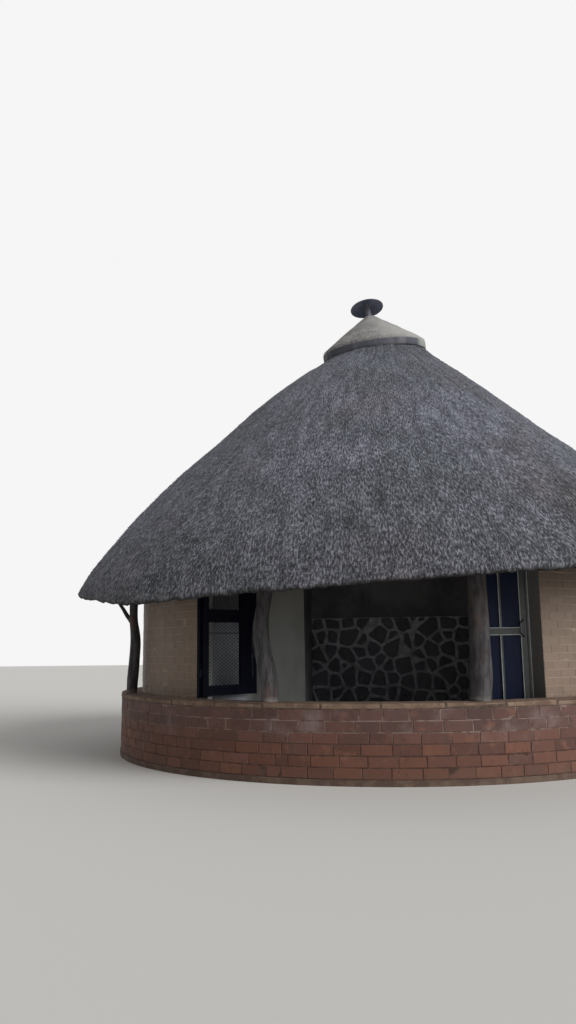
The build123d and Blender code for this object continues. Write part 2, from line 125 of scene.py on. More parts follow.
def joinMeshes(parts):
    # several (points, faces) as one, with the numbers of the points moved on
    points, faces, start = [], [], 0
    for p, f in parts:
        points.append(p)
        faces += [g + start for g in f]
        start += len(p)
    return np.concatenate(points), faces


def signedVolume(points, faces):
    # sum over the fan triangles of each face of corner . (corner x corner) / 6
    total = 0.0
    for g in faces:
        for k in range(1, g.shape[1] - 1):
            a, b, c = points[g[:, 0]], points[g[:, k]], points[g[:, k + 1]]
            total += np.einsum("ij,ij->i", a, np.cross(b, c)).sum() / 6
    return total


def meshPiece(name, points, faces, finish, slot, body="hut", smooth=True, replaces=(), values=None,
              uv=None):
    # puts the arrays into a mesh that faces outwards; values are per point, uv per face corner
    if signedVolume(points, faces) < 0:
        faces = [g[:, ::-1] for g in faces]
        uv = None if uv is None else [g[:, ::-1] for g in uv]
    mesh = bpy.data.meshes.new(name)
    loops = np.concatenate([g.ravel() for g in faces]).astype(np.int32)
    sizes = np.concatenate([np.full(len(g), g.shape[1]) for g in faces])
    mesh.vertices.add(len(points))
    mesh.vertices.foreach_set("co", points.astype(np.float32).ravel())
    mesh.loops.add(len(loops))
    mesh.loops.foreach_set("vertex_index", loops)
    mesh.polygons.add(len(sizes))
    mesh.polygons.foreach_set("loop_start", (np.cumsum(sizes) - sizes).astype(np.int32))
    mesh.polygons.foreach_set("use_smooth", np.full(len(sizes), smooth))
    for label, value in (values or {}).items():
        layer = mesh.attributes.new(label, "FLOAT", "POINT")
        layer.data.foreach_set("value", np.asarray(value, np.float32).ravel())
    if uv is not None:
        layer = mesh.uv_layers.new(name="grainMap")
        layer.data.foreach_set("uv", np.concatenate([g.ravel() for g in uv]).astype(np.float32))
    mesh.update(calc_edges=True)
    mesh.validate()
    mesh.materials.append(finishes[finish])
    piece = bpy.data.objects.new(name, mesh)
    bpy.context.scene.collection.objects.link(piece)
    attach(piece, body)
    if replaces:
        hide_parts(*replaces)
    print(" ", name, (sizes - 2).sum(), "triangles")


# shader helpers
def srgb(red, green, blue):
    # a written colour 0..255 as the linear one that the nodes take
    c = np.array([red, green, blue]) / 255
    c = np.where(c <= 0.04045, c / 12.92, ((c + 0.055) / 1.055) ** 2.4)
    return (*c.tolist(), 1.0)


def asColor(value):
    # three written numbers become a colour; a socket stays as it is
    return srgb(*value) if isinstance(value, tuple) and len(value) == 3 else value


def addNode(tree, kind, inputs=None, **settings):
    # a new node; an input that is given a socket is linked, any other is set
    node = tree.nodes.new("ShaderNode" + kind)
    for key, value in settings.items():
        setattr(node, key, value)
    for key, value in (inputs or {}).items():
        if isinstance(value, bpy.types.NodeSocket):
            tree.links.new(value, node.inputs[key])
        else:
            node.inputs[key].default_value = value
    return node


def mixColors(tree, share, a, b, blend="MIX"):
    # a share of b blended over a
    inputs = {0: share, 6: asColor(a), 7: asColor(b)}
    return addNode(tree, "Mix", inputs, data_type="RGBA", blend_type=blend).outputs[2]


def mixValues(tree, share, a, b):
    # a share of b in a
    return addNode(tree, "Mix", {0: share, 2: a, 3: b}).outputs[0]


def combine(tree, operation, a, b=0.0):
    # one sum, product or comparison of two values
    return addNode(tree, "Math", {0: a, 1: b}, operation=operation).outputs[0]


def combineVectors(tree, operation, a, b=(0, 0, 0), result="Vector"):
    # the same for vectors; a dot product or a length comes out as Value
    return addNode(tree, "VectorMath", {0: a, 1: b}, operation=operation).outputs[result]


def spread(tree, value, low, high, toLow=0.0, toHigh=1.0):
    # the value's range low..high stretched over toLow..toHigh, smoothly
    inputs = {"Value": value, "From Min": low, "From Max": high, "To Min": toLow, "To Max": toHigh}
    return addNode(tree, "MapRange", inputs, interpolation_type="SMOOTHSTEP").outputs["Result"]


def stretched(tree, where, stretch, offset=(0, 0, 0)):
    # a place scaled and then moved
    return addNode(tree, "Mapping", {"Vector": where, "Scale": stretch, "Location": offset}).outputs[0]


def placeOnPiece(tree, stretch=(1, 1, 1), offset=(0, 0, 0)):
    # Object coordinates, stretched
    return stretched(tree, addNode(tree, "TexCoord").outputs["Object"], stretch, offset)


def pieceAxis(tree, axis):
    # one of the Object coordinates: 0 to the right, 1 back, 2 up
    return addNode(tree, "SeparateXYZ", {0: placeOnPiece(tree)}).outputs[axis]


def noise(tree, where, scale, detail=2.0, roughness=0.5):
    # smooth noise 0..1 at a place
    inputs = {"Vector": where, "Scale": scale, "Detail": detail, "Roughness": roughness}
    return addNode(tree, "TexNoise", inputs).outputs[0]


def attributeValue(tree, name):
    # a number that the mesh carries for each point
    return addNode(tree, "Attribute", attribute_name=name).outputs["Fac"]


grey = (0.5, 0.5, 0.5, 1)


def shaderGroup(name, inputs, outputs):
    # an empty shared effect; an input's kind follows from how many numbers its value has
    tree = bpy.data.node_groups.new(name, "ShaderNodeTree")
    for label, value in inputs.items():
        kind = {1: "Float", 3: "Vector", 4: "Color"}[np.size(value)]
        socket = tree.interface.new_socket(label, in_out="INPUT", socket_type="NodeSocket" + kind)
        socket.default_value = value
    for label in outputs:
        kind = "Color" if label == "Color" else "Float"
        tree.interface.new_socket(label, in_out="OUTPUT", socket_type="NodeSocket" + kind)
    return tree, tree.nodes.new("NodeGroupInput").outputs


def closeGroup(tree, **results):
    # links what an effect gives to its named outputs
    output = tree.nodes.new("NodeGroupOutput")
    for label, value in results.items():
        tree.links.new(value, output.inputs[label])
    return tree


def blotchGroup():
    # two colours mixed by soft noise; Low and High are where the noise turns from A to B
    tree, given = shaderGroup("blotches", {
        "A": grey, "B": grey, "Scale": 5.0, "Low": 0.4, "High": 0.6, "Stretch": (1, 1, 1),
        "Offset": (0, 0, 0)}, ("Color", "Mask"))
    where = addNode(tree, "TexCoord").outputs["Object"]
    where = combineVectors(tree, "MULTIPLY", where, given["Stretch"])
    where = combineVectors(tree, "ADD", where, given["Offset"])
    mask = spread(tree, noise(tree, where, given["Scale"], 5.0, 0.6), given["Low"], given["High"])
    return closeGroup(tree, Color=mixColors(tree, mask, given["A"], given["B"]), Mask=mask)


def runGroup():
    # rain runs: a stain in upright streaks, broken by larger patches
    tree, given = shaderGroup("rainRuns", {"Color": grey, "Stain": grey, "Amount": 0.5, "Scale": 9.0},
                              ("Color",))
    streaks = noise(tree, placeOnPiece(tree, (1, 1, 0.09)), given["Scale"], 4.0, 0.65)
    patches = noise(tree, placeOnPiece(tree, offset=(3, 7, 1)), 1.7, 3.0)
    streaks, patches = spread(tree, streaks, 0.45, 0.75), spread(tree, patches, 0.35, 0.65)
    mask = combine(tree, "MULTIPLY", combine(tree, "MULTIPLY", streaks, patches), given["Amount"])
    return closeGroup(tree, Color=mixColors(tree, mask, given["Color"], given["Stain"]))


def grainGroup():
    # fine height for the bump: sharp noise over a coarser one
    tree, given = shaderGroup("grain", {"Scale": 60.0, "Coarse": 0.4, "Stretch": (1, 1, 1)}, ("Height",))
    where = addNode(tree, "TexCoord").outputs["Object"]
    where = combineVectors(tree, "MULTIPLY", where, given["Stretch"])
    fine = noise(tree, where, given["Scale"], 4.0, 0.7)
    coarse = noise(tree, where, combine(tree, "MULTIPLY", given["Scale"], 0.12), 3.0)
    return closeGroup(tree, Height=mixValues(tree, given["Coarse"], fine, coarse))


def splashAndLitFootGroup():
    # a colour over the lowest part: earth thrown up on the bricks and walls, painted sunlight on the post
    # feet; full below Low, gone above High, with a ragged edge
    tree, given = shaderGroup("splashAndLitFoot", {
        "Color": grey, "Earth": grey, "Low": 0.0, "High": 0.2, "Amount": 0.7}, ("Color",))
    ragged = combine(tree, "MULTIPLY", noise(tree, placeOnPiece(tree), 6.0, 4.0), 0.12)
    height = combine(tree, "ADD", pieceAxis(tree, 2), ragged)
    limits = {"Value": height, "From Min": given["High"], "From Max": given["Low"]}
    mask = addNode(tree, "MapRange", limits).outputs[0]
    amount = combine(tree, "MULTIPLY", mask, given["Amount"])
    return closeGroup(tree, Color=mixColors(tree, amount, given["Color"], given["Earth"]))


groups = {"blotches": blotchGroup(), "rainRuns": runGroup(), "grain": grainGroup(), "splashAndLitFoot": splashAndLitFootGroup()}


def useGroup(tree, name, **inputs):
    # an effect with its inputs set; gives its outputs
    return addNode(tree, "Group", inputs, node_tree=groups[name]).outputs


def blotches(tree, a, b, scale, low=0.4, high=0.6, stretch=(1, 1, 1), offset=(0, 0, 0)):
    # b in patches over a: Color is the blend, Mask where b shows
    return useGroup(tree, "blotches", A=asColor(a), B=asColor(b), Scale=scale, Low=low, High=high,
                    Stretch=stretch, Offset=offset)


def mottle(*given, **named):
    # the colour of blotches, without their mask
    return blotches(*given, **named)["Color"]


def rainRuns(tree, color, stain, amount=0.5, scale=9.0):
    # a stain in upright streaks over the colour
    return useGroup(tree, "rainRuns", Color=color, Stain=srgb(*stain), Amount=amount, Scale=scale)["Color"]


def splashAndLitFoot(tree, color, bandColor, low, high, amount):
    # earth on the bricks and walls, painted sunlight on the post feet: the band colour over the colour,
    # full below low and gone above high
    return useGroup(tree, "splashAndLitFoot", Color=color, Earth=srgb(*bandColor), Low=low, High=high,
                    Amount=amount)["Color"]


def grain(tree, scale, coarse, stretch=(1, 1, 1)):
    # the height of fine grain, for the bump
    return useGroup(tree, "grain", Scale=scale, Coarse=coarse, Stretch=stretch)["Height"]


finishes = {}


def newFinish(name):
    # an empty material, kept under its name
    material = bpy.data.materials.new(name)
    material.use_nodes = True
    tree = material.node_tree
    tree.nodes.clear()
    shader = addNode(tree, "BsdfPrincipled")
    tree.links.new(shader.outputs[0], addNode(tree, "OutputMaterial").inputs[0])
    finishes[name] = material
    return tree, shader


def setSurface(tree, shader, color, roughness, height, relief):
    # colour, roughness and the bump of one material; relief is its depth in metres
    tree.links.new(color, shader.inputs["Base Color"])
    tree.links.new(roughness, shader.inputs["Roughness"])
    bump = addNode(tree, "Bump", {"Height": height, "Distance": relief, "Strength": 1.0})
    tree.links.new(bump.outputs[0], shader.inputs["Normal"])


# base and second colour and their scale, patch colour and its scale, stain of the rain and its amount,
# scale of the grain, relief, roughness
masonry = {
    "copingSlab": ((122, 99, 82), (102, 81, 68), 5.0, (140, 120, 104), 9.0, (66, 50, 42), 0.55,
                   150.0, 0.003, (0.8, 0.95)),
    "copingJoint": ((84, 68, 58), (68, 54, 46), 12.0, (104, 90, 76), 20.0, (56, 44, 38), 0.3,
                    220.0, 0.003, (0.85, 0.97)),
    "footingConcrete": ((96, 78, 66), (80, 63, 54), 6.0, (108, 88, 74), 12.0, (56, 43, 37), 0.3,
                        140.0, 0.006, (0.85, 0.97)),
    "floorScreed": ((88, 85, 82), (74, 71, 69), 3.0, (100, 96, 90), 1.6, (56, 53, 51), 0.2,
                    90.0, 0.002, (0.55, 0.8)),
    "wallPaint": ((146, 128, 112), (132, 115, 100), 4.0, (142, 126, 111), 2.0, (84, 70, 58), 0.45,
                  120.0, 0.002, (0.6, 0.85)),
    # shadyPlaster is the plaster of the recess, its colour darkened as painted shade
    "shadyPlaster": ((98, 96, 98), (84, 82, 86), 2.4, (108, 105, 106), 1.3, (60, 58, 60), 0.5,
                     60.0, 0.0025, (0.75, 0.92)),
}


def plainFinish(name, base, second, scale, patch, patchScale, stain, runs, fineness, relief, rough):
    # blotches and rain runs over one colour, as masonry, plaster and paint share them
    tree, shader = newFinish(name)
    mottled = blotches(tree, base, second, scale)
    color = mottle(tree, mottled["Color"], patch, patchScale, 0.52, 0.75, offset=(5, 2, 9))
    color = rainRuns(tree, color, stain, runs)
    rough = spread(tree, mottled["Mask"], 0, 1, *rough)
    setSurface(tree, shader, color, rough, grain(tree, fineness, 0.4), relief)


# base, second, dust and chip colour, roughness, then shine and metal where they aren't the usual ones
coats = {
    "navyPaint": ((4, 7, 28), (3, 5, 20), (12, 15, 30), (34, 30, 32), (0.38, 0.6), 0.12),
    "boltPaint": ((38, 42, 58), (28, 32, 46), (60, 62, 72), (84, 72, 64), (0.35, 0.6)),
    "doorPaint": ((68, 72, 69), (60, 63, 61), (82, 81, 76), (56, 52, 48), (0.35, 0.6)),
    "beadPaint": ((172, 180, 181), (150, 158, 158), (132, 132, 126), (64, 58, 52), (0.35, 0.6)),
    "blackHandle": ((14, 14, 16), (10, 10, 11), (34, 33, 32), (70, 68, 66), (0.3, 0.55), 0.5, 0.4),
    "cowlSlate": ((92, 97, 120), (78, 83, 104), (104, 108, 122), (104, 92, 84), (0.45, 0.7), 0.5, 0.2),
    "stubCement": ((104, 104, 108), (84, 84, 90), (122, 120, 118), (74, 70, 68), (0.75, 0.9), 0.3),
    "wornSteel": ((150, 148, 142), (124, 120, 114), (112, 98, 84), (120, 78, 52), (0.35, 0.6), 0.5, 0.9),
}


def coatFinish(name, base, second, dust, chip, rough, shine=0.5, metal=0.0):
    # gloss paint or bare metal: faint mottle, dust in patches, chips down to the metal below
    tree, shader = newFinish(name)
    dusty = blotches(tree, mottle(tree, base, second, 14.0), dust, 5.0, 0.5, 0.85, offset=(1, 4, 2))
    color = mottle(tree, dusty["Color"], chip, 45.0, 0.70, 0.73, offset=(8, 8, 1))
    rough = spread(tree, dusty["Mask"], 0, 1, *rough)
    setSurface(tree, shader, color, rough, grain(tree, 90.0, 0.6), 0.0006)
    shader.inputs["Specular IOR Level"].default_value = shine
    shader.inputs["Metallic"].default_value = metal


def glassFinish():
    # dark panes: nearly closed, with upright smears of dust; their navy colour stands for the dark room
    # behind and is a painted reflection of the sky
    tree, shader = newFinish("paneGlass")
    # painted reflection: navy for the sky and the dark room, mixed with dust smears
    reflectionAndDust = blotches(tree, (32, 37, 58), (44, 48, 66), 3.0, 0.5, 0.8, (1, 1, 0.4))
    rough = spread(tree, reflectionAndDust["Mask"], 0, 1, 0.3, 0.5)
    setSurface(tree, shader, reflectionAndDust["Color"], rough, grain(tree, 4.0, 0.5), 0.0004)
    for label, value in (("IOR", 1.5), ("Specular IOR Level", 0.05), ("Transmission Weight", 0.03)):
        shader.inputs[label].default_value = value


def brickFinish():
    # fired clay: each brick has its own tone, the older top courses are purple and bloom
    tree, shader = newFinish("plinthBrick")
    tone, age = attributeValue(tree, "tone"), attributeValue(tree, "age")
    red = mixColors(tree, tone, (104, 64, 47), (80, 47, 34))
    purple = mixColors(tree, tone, (90, 62, 56), (68, 45, 41))
    color = mottle(tree, mixColors(tree, age, red, purple), (118, 78, 60), 9.0, 0.5, 0.85)
    bloom = mottle(tree, color, (134, 118, 116), 2.2, 0.5, 0.75, offset=(6, 3, 1))
    color = mixColors(tree, combine(tree, "MULTIPLY", age, 0.6), color, bloom)
    burnt = blotches(tree, color, (60, 40, 36), 26.0, 0.56, 0.8, offset=(4, 1, 3))
    color = rainRuns(tree, burnt["Color"], (62, 48, 42), 0.5, 5.0)
    color = splashAndLitFoot(tree, color, (90, 70, 57), 0.06, 0.24, 0.5)
    rough = spread(tree, burnt["Mask"], 0, 1, 0.78, 0.95)
    setSurface(tree, shader, color, rough, grain(tree, 130.0, 0.35), 0.003)


def jointFinish():
    # plinth mortar: pale between the top courses, dark and damp between the lower ones
    tree, shader = newFinish("plinthJoint")
    pale = spread(tree, pieceAxis(tree, 2), 0.34, 0.56)
    color = mixColors(tree, pale, (62, 40, 33), (128, 110, 102))
    color = mottle(tree, color, (84, 62, 54), 11.0, 0.42, 0.62)
    setSurface(tree, shader, color, spread(tree, pale, 0, 1, 0.95, 0.85), grain(tree, 200.0, 0.3), 0.004)


def paintedBrickFinish():
    # the wall paint over bricks: a little colour of its own for each brick, darker under the eave as
    # painted shade
    tree, shader = newFinish("paintedBrick")
    color = mixColors(tree, attributeValue(tree, "tone"), (118, 99, 83), (109, 91, 75))
    worn = blotches(tree, color, (128, 109, 92), 5.0, 0.5, 0.8)
    color = rainRuns(tree, worn["Color"], (94, 78, 66), 0.5, 7.0)
    color = splashAndLitFoot(tree, color, (112, 90, 76), 0.76, 0.92, 0.6)
    # painted shade: the wall is darkened towards the eave
    eaveShade = spread(tree, pieceAxis(tree, 2), 1.75, 2.3, 0.0, 0.7)
    color = mixColors(tree, eaveShade, color, (70, 58, 50))
    rough = spread(tree, worn["Mask"], 0, 1, 0.6, 0.8)
    setSurface(tree, shader, color, rough, grain(tree, 150.0, 0.5), 0.002)


wallEndSpec = {"left": 321.5, "right": 31.5, "edge": 0.003, "front": 2.0, "turnsPale": 3.115}


def wallEndFinish():
    # the tan wall; its two cut ends at the recess are painted: the left end dark at the outer edge and pale
    # further in, the right end dark olive grey as painted shade in the reveal
    tree, shader = newFinish("wallEnds")
    where = placeOnPiece(tree)
    cut = 0.0
    for angle, turn in ((wallEndSpec["left"], 1), (wallEndSpec["right"], -1)):
        c, s = cos(radians(angle)), sin(radians(angle))
        along = combineVectors(tree, "DOT_PRODUCT", where, (turn * c, turn * s, 0), "Value")
        front = combineVectors(tree, "DOT_PRODUCT", where, (s, -c, 0), "Value")
        near = combine(tree, "MULTIPLY", combine(tree, "GREATER_THAN", along, -wallEndSpec["edge"]),
                       combine(tree, "GREATER_THAN", front, wallEndSpec["front"]))
        cut = combine(tree, "MAXIMUM", cut, near)
    flat = combineVectors(tree, "MULTIPLY", where, (1, 1, 0))
    outer = combine(tree, "GREATER_THAN", combineVectors(tree, "LENGTH", flat, result="Value"),
                    wallEndSpec["turnsPale"])
    wall = mottle(tree, (152, 134, 117), (132, 115, 100), 4.0)
    pale = mottle(tree, (160, 163, 159), (144, 147, 143), 2.4)
    navy = mottle(tree, (5, 8, 26), (14, 16, 28), 9.0)
    # painted shade: the right end, a reveal in the shade, is dark olive grey
    revealShade = mottle(tree, (100, 100, 99), (108, 98, 91), 5.0)
    side = combine(tree, "GREATER_THAN", pieceAxis(tree, 0), 0.0)
    ends = mixColors(tree, side, mixColors(tree, outer, pale, navy), revealShade)
    color = rainRuns(tree, mixColors(tree, cut, wall, ends), (84, 70, 58), 0.3)
    fine = grain(tree, 120.0, 0.4)
    setSurface(tree, shader, color, spread(tree, fine, 0.3, 0.7, 0.6, 0.85), fine, 0.002)


def paleWallFinish():
    # pale plaster: whiter in the corner behind the gate as painted light, darker towards the top as painted
    # shade
    tree, shader = newFinish("paleWall")
    plaster = mottle(tree, (150, 152, 149), (136, 138, 134), 2.4, stretch=(1, 1, 0.5))
    litCorner = mottle(tree, (236, 242, 252), (222, 229, 241), 2.4)
    # painted light: the plaster turns whiter to the left, behind the gate
    color = mixColors(tree, spread(tree, pieceAxis(tree, 0), -1.68, -1.48, 1.0, 0.0), plaster, litCorner)
    # painted shade: darker towards the top, under the eave
    eaveShade = spread(tree, pieceAxis(tree, 2), 1.35, 2.25, 0.0, 0.85)
    color = rainRuns(tree, mixColors(tree, eaveShade, color, (112, 108, 98)), (104, 104, 98), 0.3)
    fine = grain(tree, 60.0, 0.4)
    setSurface(tree, shader, color, spread(tree, fine, 0.3, 0.7, 0.7, 0.9), fine, 0.0025)


def stoneFinish():
    # split stones in a pale mortar: joint is 1 in the mortar, tone differs from stone to stone
    tree, shader = newFinish("dadoStone")
    joint = attributeValue(tree, "joint")
    stone = mixColors(tree, attributeValue(tree, "tone"), (70, 72, 79), (46, 48, 56))
    stone = mottle(tree, stone, (84, 84, 88), 11.0, 0.5, 0.8)
    stone = mottle(tree, stone, (34, 36, 44), 24.0, 0.58, 0.8, offset=(2, 2, 2))
    mortar = mottle(tree, (168, 170, 176), (140, 142, 148), 14.0)
    rough = spread(tree, joint, 0, 1, 0.62, 0.95)
    setSurface(tree, shader, mixColors(tree, joint, stone, mortar), rough, grain(tree, 70.0, 0.5), 0.005)


reedRamp = ((0.0, (28, 29, 34)), (0.39, (33, 34, 41)), (0.5, (80, 82, 93)), (0.61, (150, 152, 166)),
            (1.0, (172, 174, 184)))


def thatchFinish():
    # weathered reed: salt and pepper ends, streaks down the slope, grey green and brown patches, darker
    # towards the eave partly from damp and partly as painted shade; the cut and the inside darker as
    # painted shade
    tree, shader = newFinish("thatchReed")
    uv = addNode(tree, "UVMap", uv_map="grainMap").outputs[0]
    streaks = noise(tree, stretched(tree, uv, (80, 17, 1)), 1.0, 3.0, 0.6)
    clumps = noise(tree, stretched(tree, uv, (11, 2.6, 1)), 1.0, 3.0)
    light = mixValues(tree, 0.34, streaks, noise(tree, placeOnPiece(tree), 72.0, 3.0, 0.75))
    clumps = combine(tree, "MULTIPLY", combine(tree, "SUBTRACT", clumps, 0.5), 0.22)
    light = combine(tree, "ADD", light, clumps)
    tones = addNode(tree, "ValToRGB", {0: light})
    marks = tones.color_ramp.elements
    for place, shade in reedRamp[1:-1]:
        marks.new(place).color = srgb(*shade)
    marks[0].color, marks[-1].color = srgb(*reedRamp[0][1]), srgb(*reedRamp[-1][1])
    white = (255, 255, 255)
    patchy = mottle(tree, white, (222, 226, 222), 0.9, 0.42, 0.62)
    brown = mottle(tree, white, (242, 232, 226), 0.7, 0.48, 0.7, offset=(3, 6, 2))
    # partly damp, partly painted shade: the reed is darker towards the eave
    dampAndShade = mixColors(tree, spread(tree, pieceAxis(tree, 2), 1.9, 3.9), (222, 219, 214), white)
    color = tones.outputs[0]
    for wash in (patchy, brown, dampAndShade):
        color = mixColors(tree, 1.0, color, wash, "MULTIPLY")
    # painted shade: the cut under the eave and the inside are darker
    shaded = mixColors(tree, 1.0, color, (120, 104, 94), "MULTIPLY")
    color = mixColors(tree, attributeValue(tree, "under"), color, shaded)
    setSurface(tree, shader, color, spread(tree, light, 0.3, 0.7, 0.96, 0.8), light, 0.03)


def strawFinish():
    # single reeds: each has its own tone
    tree, shader = newFinish("reedEnds")
    color = mixColors(tree, attributeValue(tree, "tone"), (38, 39, 45), (146, 148, 160))
    color = mottle(tree, color, (56, 57, 63), 3.0, 0.5, 0.8)
    fine = noise(tree, placeOnPiece(tree), 120.0)
    setSurface(tree, shader, color, spread(tree, fine, 0.3, 0.7, 0.75, 0.92), fine, 0.002)


def cementFinish():
    # the cap: pale trowelled cement, dark growth over the lower cone, a nearly black weathered skirt
    tree, shader = newFinish("capCement")
    skirt, across = attributeValue(tree, "skirt"), pieceAxis(tree, 0)
    body = blotches(tree, (152, 150, 147), (132, 130, 128), 3.0)
    specks = mottle(tree, body["Color"], (66, 64, 64), 26.0, 0.46, 0.6, offset=(1, 1, 4))
    growth = combine(tree, "MULTIPLY", spread(tree, skirt, 0.1, 0.6),
                     spread(tree, across, 0.45, 0.05, 0.05, 0.5))
    color = mixColors(tree, growth, body["Color"], specks)
    dark = mottle(tree, (72, 73, 81), (98, 98, 104), 6.0, 0.45, 0.7, (1, 1, 0.25))
    dark = mixColors(tree, spread(tree, across, 0.66, 0.74, 0.0, 0.85), dark, (138, 144, 138))
    color = mixColors(tree, spread(tree, skirt, 0.8, 0.95), color, dark)
    rough = spread(tree, body["Mask"], 0, 1, 0.8, 0.95)
    setSurface(tree, shader, color, rough, grain(tree, 60.0, 0.6), 0.004)


# base, second and patch colour, stretch of the fissures, relief, then the colour of a pale foot, which is
# painted sunlight
barks = {
    "postBark": ((66, 64, 65), (46, 44, 45), (84, 68, 63), (1, 1, 0.22), 0.007, (150, 142, 138)),
    "poleBark": ((76, 68, 60), (56, 49, 43), (90, 80, 68), (1, 1, 1), 0.004),
    "plateTimber": ((86, 76, 64), (68, 59, 50), (98, 88, 74), (1, 1, 0.4), 0.002),
}


def barkFinish(name, base, second, patch, stretch, relief, foot=None):
    # weathered trunks and poles: upright fissures, and where given a pale foot that is painted sunlight
    tree, shader = newFinish(name)
    bark = blotches(tree, base, second, 22.0, 0.38, 0.62, stretch)
    color = mottle(tree, bark["Color"], patch, 4.0, 0.52, 0.75, (1, 1, 0.5), (2, 5, 1))
    if foot:
        # painted light: the lowest part of the post is paler, as if sunlit
        color = splashAndLitFoot(tree, color, foot, 0.80, 0.90, 0.8)
    rough = spread(tree, bark["Mask"], 0, 1, 0.7, 0.9)
    setSurface(tree, shader, color, rough, grain(tree, 60.0, 0.5, stretch), relief)


for make, rows in ((plainFinish, masonry), (coatFinish, coats), (barkFinish, barks)):
    for name, row in rows.items():
        make(name, *row)
for make in (glassFinish, brickFinish, jointFinish, paintedBrickFinish, wallEndFinish, paleWallFinish,
             stoneFinish, thatchFinish, strawFinish, cementFinish):
    make()

sides = ("front", "right", "back", "left")
nodeFinishes = {
    "footingConcrete": ["footing_ring"],
    "floorScreed": ["plinth_floor"],
    "plinthJoint": ["low_wall_" + side for side in sides],
    "copingJoint": ["coping_" + side for side in sides],
    "wallEnds": ["room_wall_right", "room_wall_left"],
    "wallPaint": ["room_wall_back_right", "room_wall_back", "room_wall_back_left", "return_wall_right",
                  "door_head_wall"],
    "paleWall": ["pale_wall"],
    "shadyPlaster": ["return_wall_left", "recess_back_wall"],
    "doorPaint": ["door_frame", "door_leaf"],
    "paneGlass": ["door_panes"],
    "blackHandle": ["door_handle"],
    "wornSteel": ["door_hinge_pins", "door_knuckles"],
    "navyPaint": ["gate_jamb", "gate_frame"],
    "boltPaint": ["gate_bolt"],
    "poleBark": ["veranda_beam", "rafters"],
    "plateTimber": ["wall_plate", "crown_block"],
    "cowlSlate": ["rain_cowl"],
    "stubCement": ["cowl_stub"],
}
for finish, names in nodeFinishes.items():
    for name in names:
        nodes[name].data.materials.clear()
        nodes[name].data.materials.append(finishes[finish])
print("finishes made:", len(finishes))


# bricks and slabs
# shares of a block's roundness, unevenness and length, then the scatter of starts and ages
blockSpec = {"arris": 0.3, "tilt": 1.2, "height": 0.6, "short": 0.55, "start": 0.004, "age": 0.12}


def blockTemplate(steps, levels):
    # rings round a rectangle, from the back of the block to its front, with so many steps along it
    along = np.linspace(-1, 1, steps + 1)
    sideways = np.concatenate([along, along[::-1]])
    upright = np.repeat([-1.0, 1.0], steps + 1)
    inset = np.array([level[0] for level in levels])
    depth = np.array([level[1] for level in levels])
    columns = 2 * (steps + 1)
    i = np.arange(steps)
    front = np.stack([i, i + 1, columns - 2 - i, columns - 1 - i], -1)
    quads = np.concatenate([gridFaces(len(levels), columns), front[:, ::-1],
                            front + (len(levels) - 1) * columns])
    return sideways, upright, inset, depth, quads


def layBlocks(name, bricks, spec, finish, slot):
    # each block is bent round the wall: its length becomes an angle, its depth a change of radius;
    # its rings are a buried back, the side, two rings of a rounded arris and the face
    proud, roundness, radius, unevenness = (spec[key] for key in ("proud", "round", "radius", "uneven"))
    arris = roundness * blockSpec["arris"]
    levels = [(0.0, -spec["bury"]), (0.0, proud - roundness), (arris, proud - arris), (roundness, proud)]
    draw = np.random.default_rng(spec["shapeSeed"])
    sideways, upright, inset, depth, quads = blockTemplate(spec["bend"], levels)
    count = len(bricks["angle"])
    shape = (count, len(levels), len(sideways))
    width = bricks["halfWidth"][:, None, None] - inset[None, :, None]
    height = bricks["halfHeight"][:, None, None] - inset[None, :, None]
    wobble = draw.normal(0, unevenness, shape)
    tilt = draw.normal(0, unevenness * blockSpec["tilt"], (count, 2, 1, 1))
    shows = (depth > depth.min())[None, :, None]
    x = sideways * width + wobble * shows
    z = upright * height + draw.normal(0, unevenness * blockSpec["height"], shape)
    lift = draw.normal(0, unevenness, (count, 1, 1)) + tilt[:, 0] * sideways + tilt[:, 1] * upright
    y = depth[None, :, None] + lift * shows
    angle = bricks["angle"][:, None, None] + x / radius
    out = radius + y
    points = np.stack([out * np.sin(angle), -out * np.cos(angle), bricks["z"][:, None, None] + z], -1)
    size = shape[1] * shape[2]
    faces = (quads[None] + (np.arange(count) * size)[:, None, None]).reshape(-1, 4)
    perPoint = {key: np.repeat(bricks[key], size) for key in ("tone", "age") if key in bricks}
    meshPiece(name, points.reshape(-1, 3), [faces], finish, slot, smooth=False, values=perPoint)


def courses(spec):
    # one row of arrays for each course: lengths vary, alternate courses start half a brick on
    draw = np.random.default_rng(spec["seed"])
    sweep = radians(spec["to"] - spec["from"])
    rows = {"angle": [], "halfWidth": [], "halfHeight": [], "z": [], "tone": [], "age": []}
    count = round(sweep * spec["radius"] / spec["length"])
    for course in range(spec["courses"]):
        lengths = 1 + draw.normal(0, spec["variation"], count)
        lengths[draw.random(count) < spec["halves"]] *= blockSpec["short"]
        lengths = lengths / lengths.sum() * sweep
        start = radians(spec["from"])
        if spec["closed"]:
            start += (course % 2) * lengths[0] / 2 + draw.normal(0, blockSpec["start"])
        elif course % 2:
            lengths = np.concatenate([[lengths[0] / 2], lengths[1:], [lengths[0] / 2]])
        edges = start + np.concatenate([[0], np.cumsum(lengths)])
        rows["angle"].append((edges[1:] + edges[:-1]) / 2)
        rows["halfWidth"].append((edges[1:] - edges[:-1]) / 2 * spec["radius"] - spec["upright"] / 2)
        size = len(lengths)
        rows["halfHeight"].append(np.full(size, (spec["height"] - spec["joint"]) / 2))
        rows["z"].append(np.full(size, spec["z"] + (course + 0.5) * spec["height"]))
        rows["tone"].append(draw.random(size))
        age = np.interp(course, *spec["age"]) if "age" in spec else 0.0
        rows["age"].append(np.clip(age + draw.normal(0, blockSpec["age"], size), 0, 1))
    return {key: np.concatenate(value) for key, value in rows.items()}


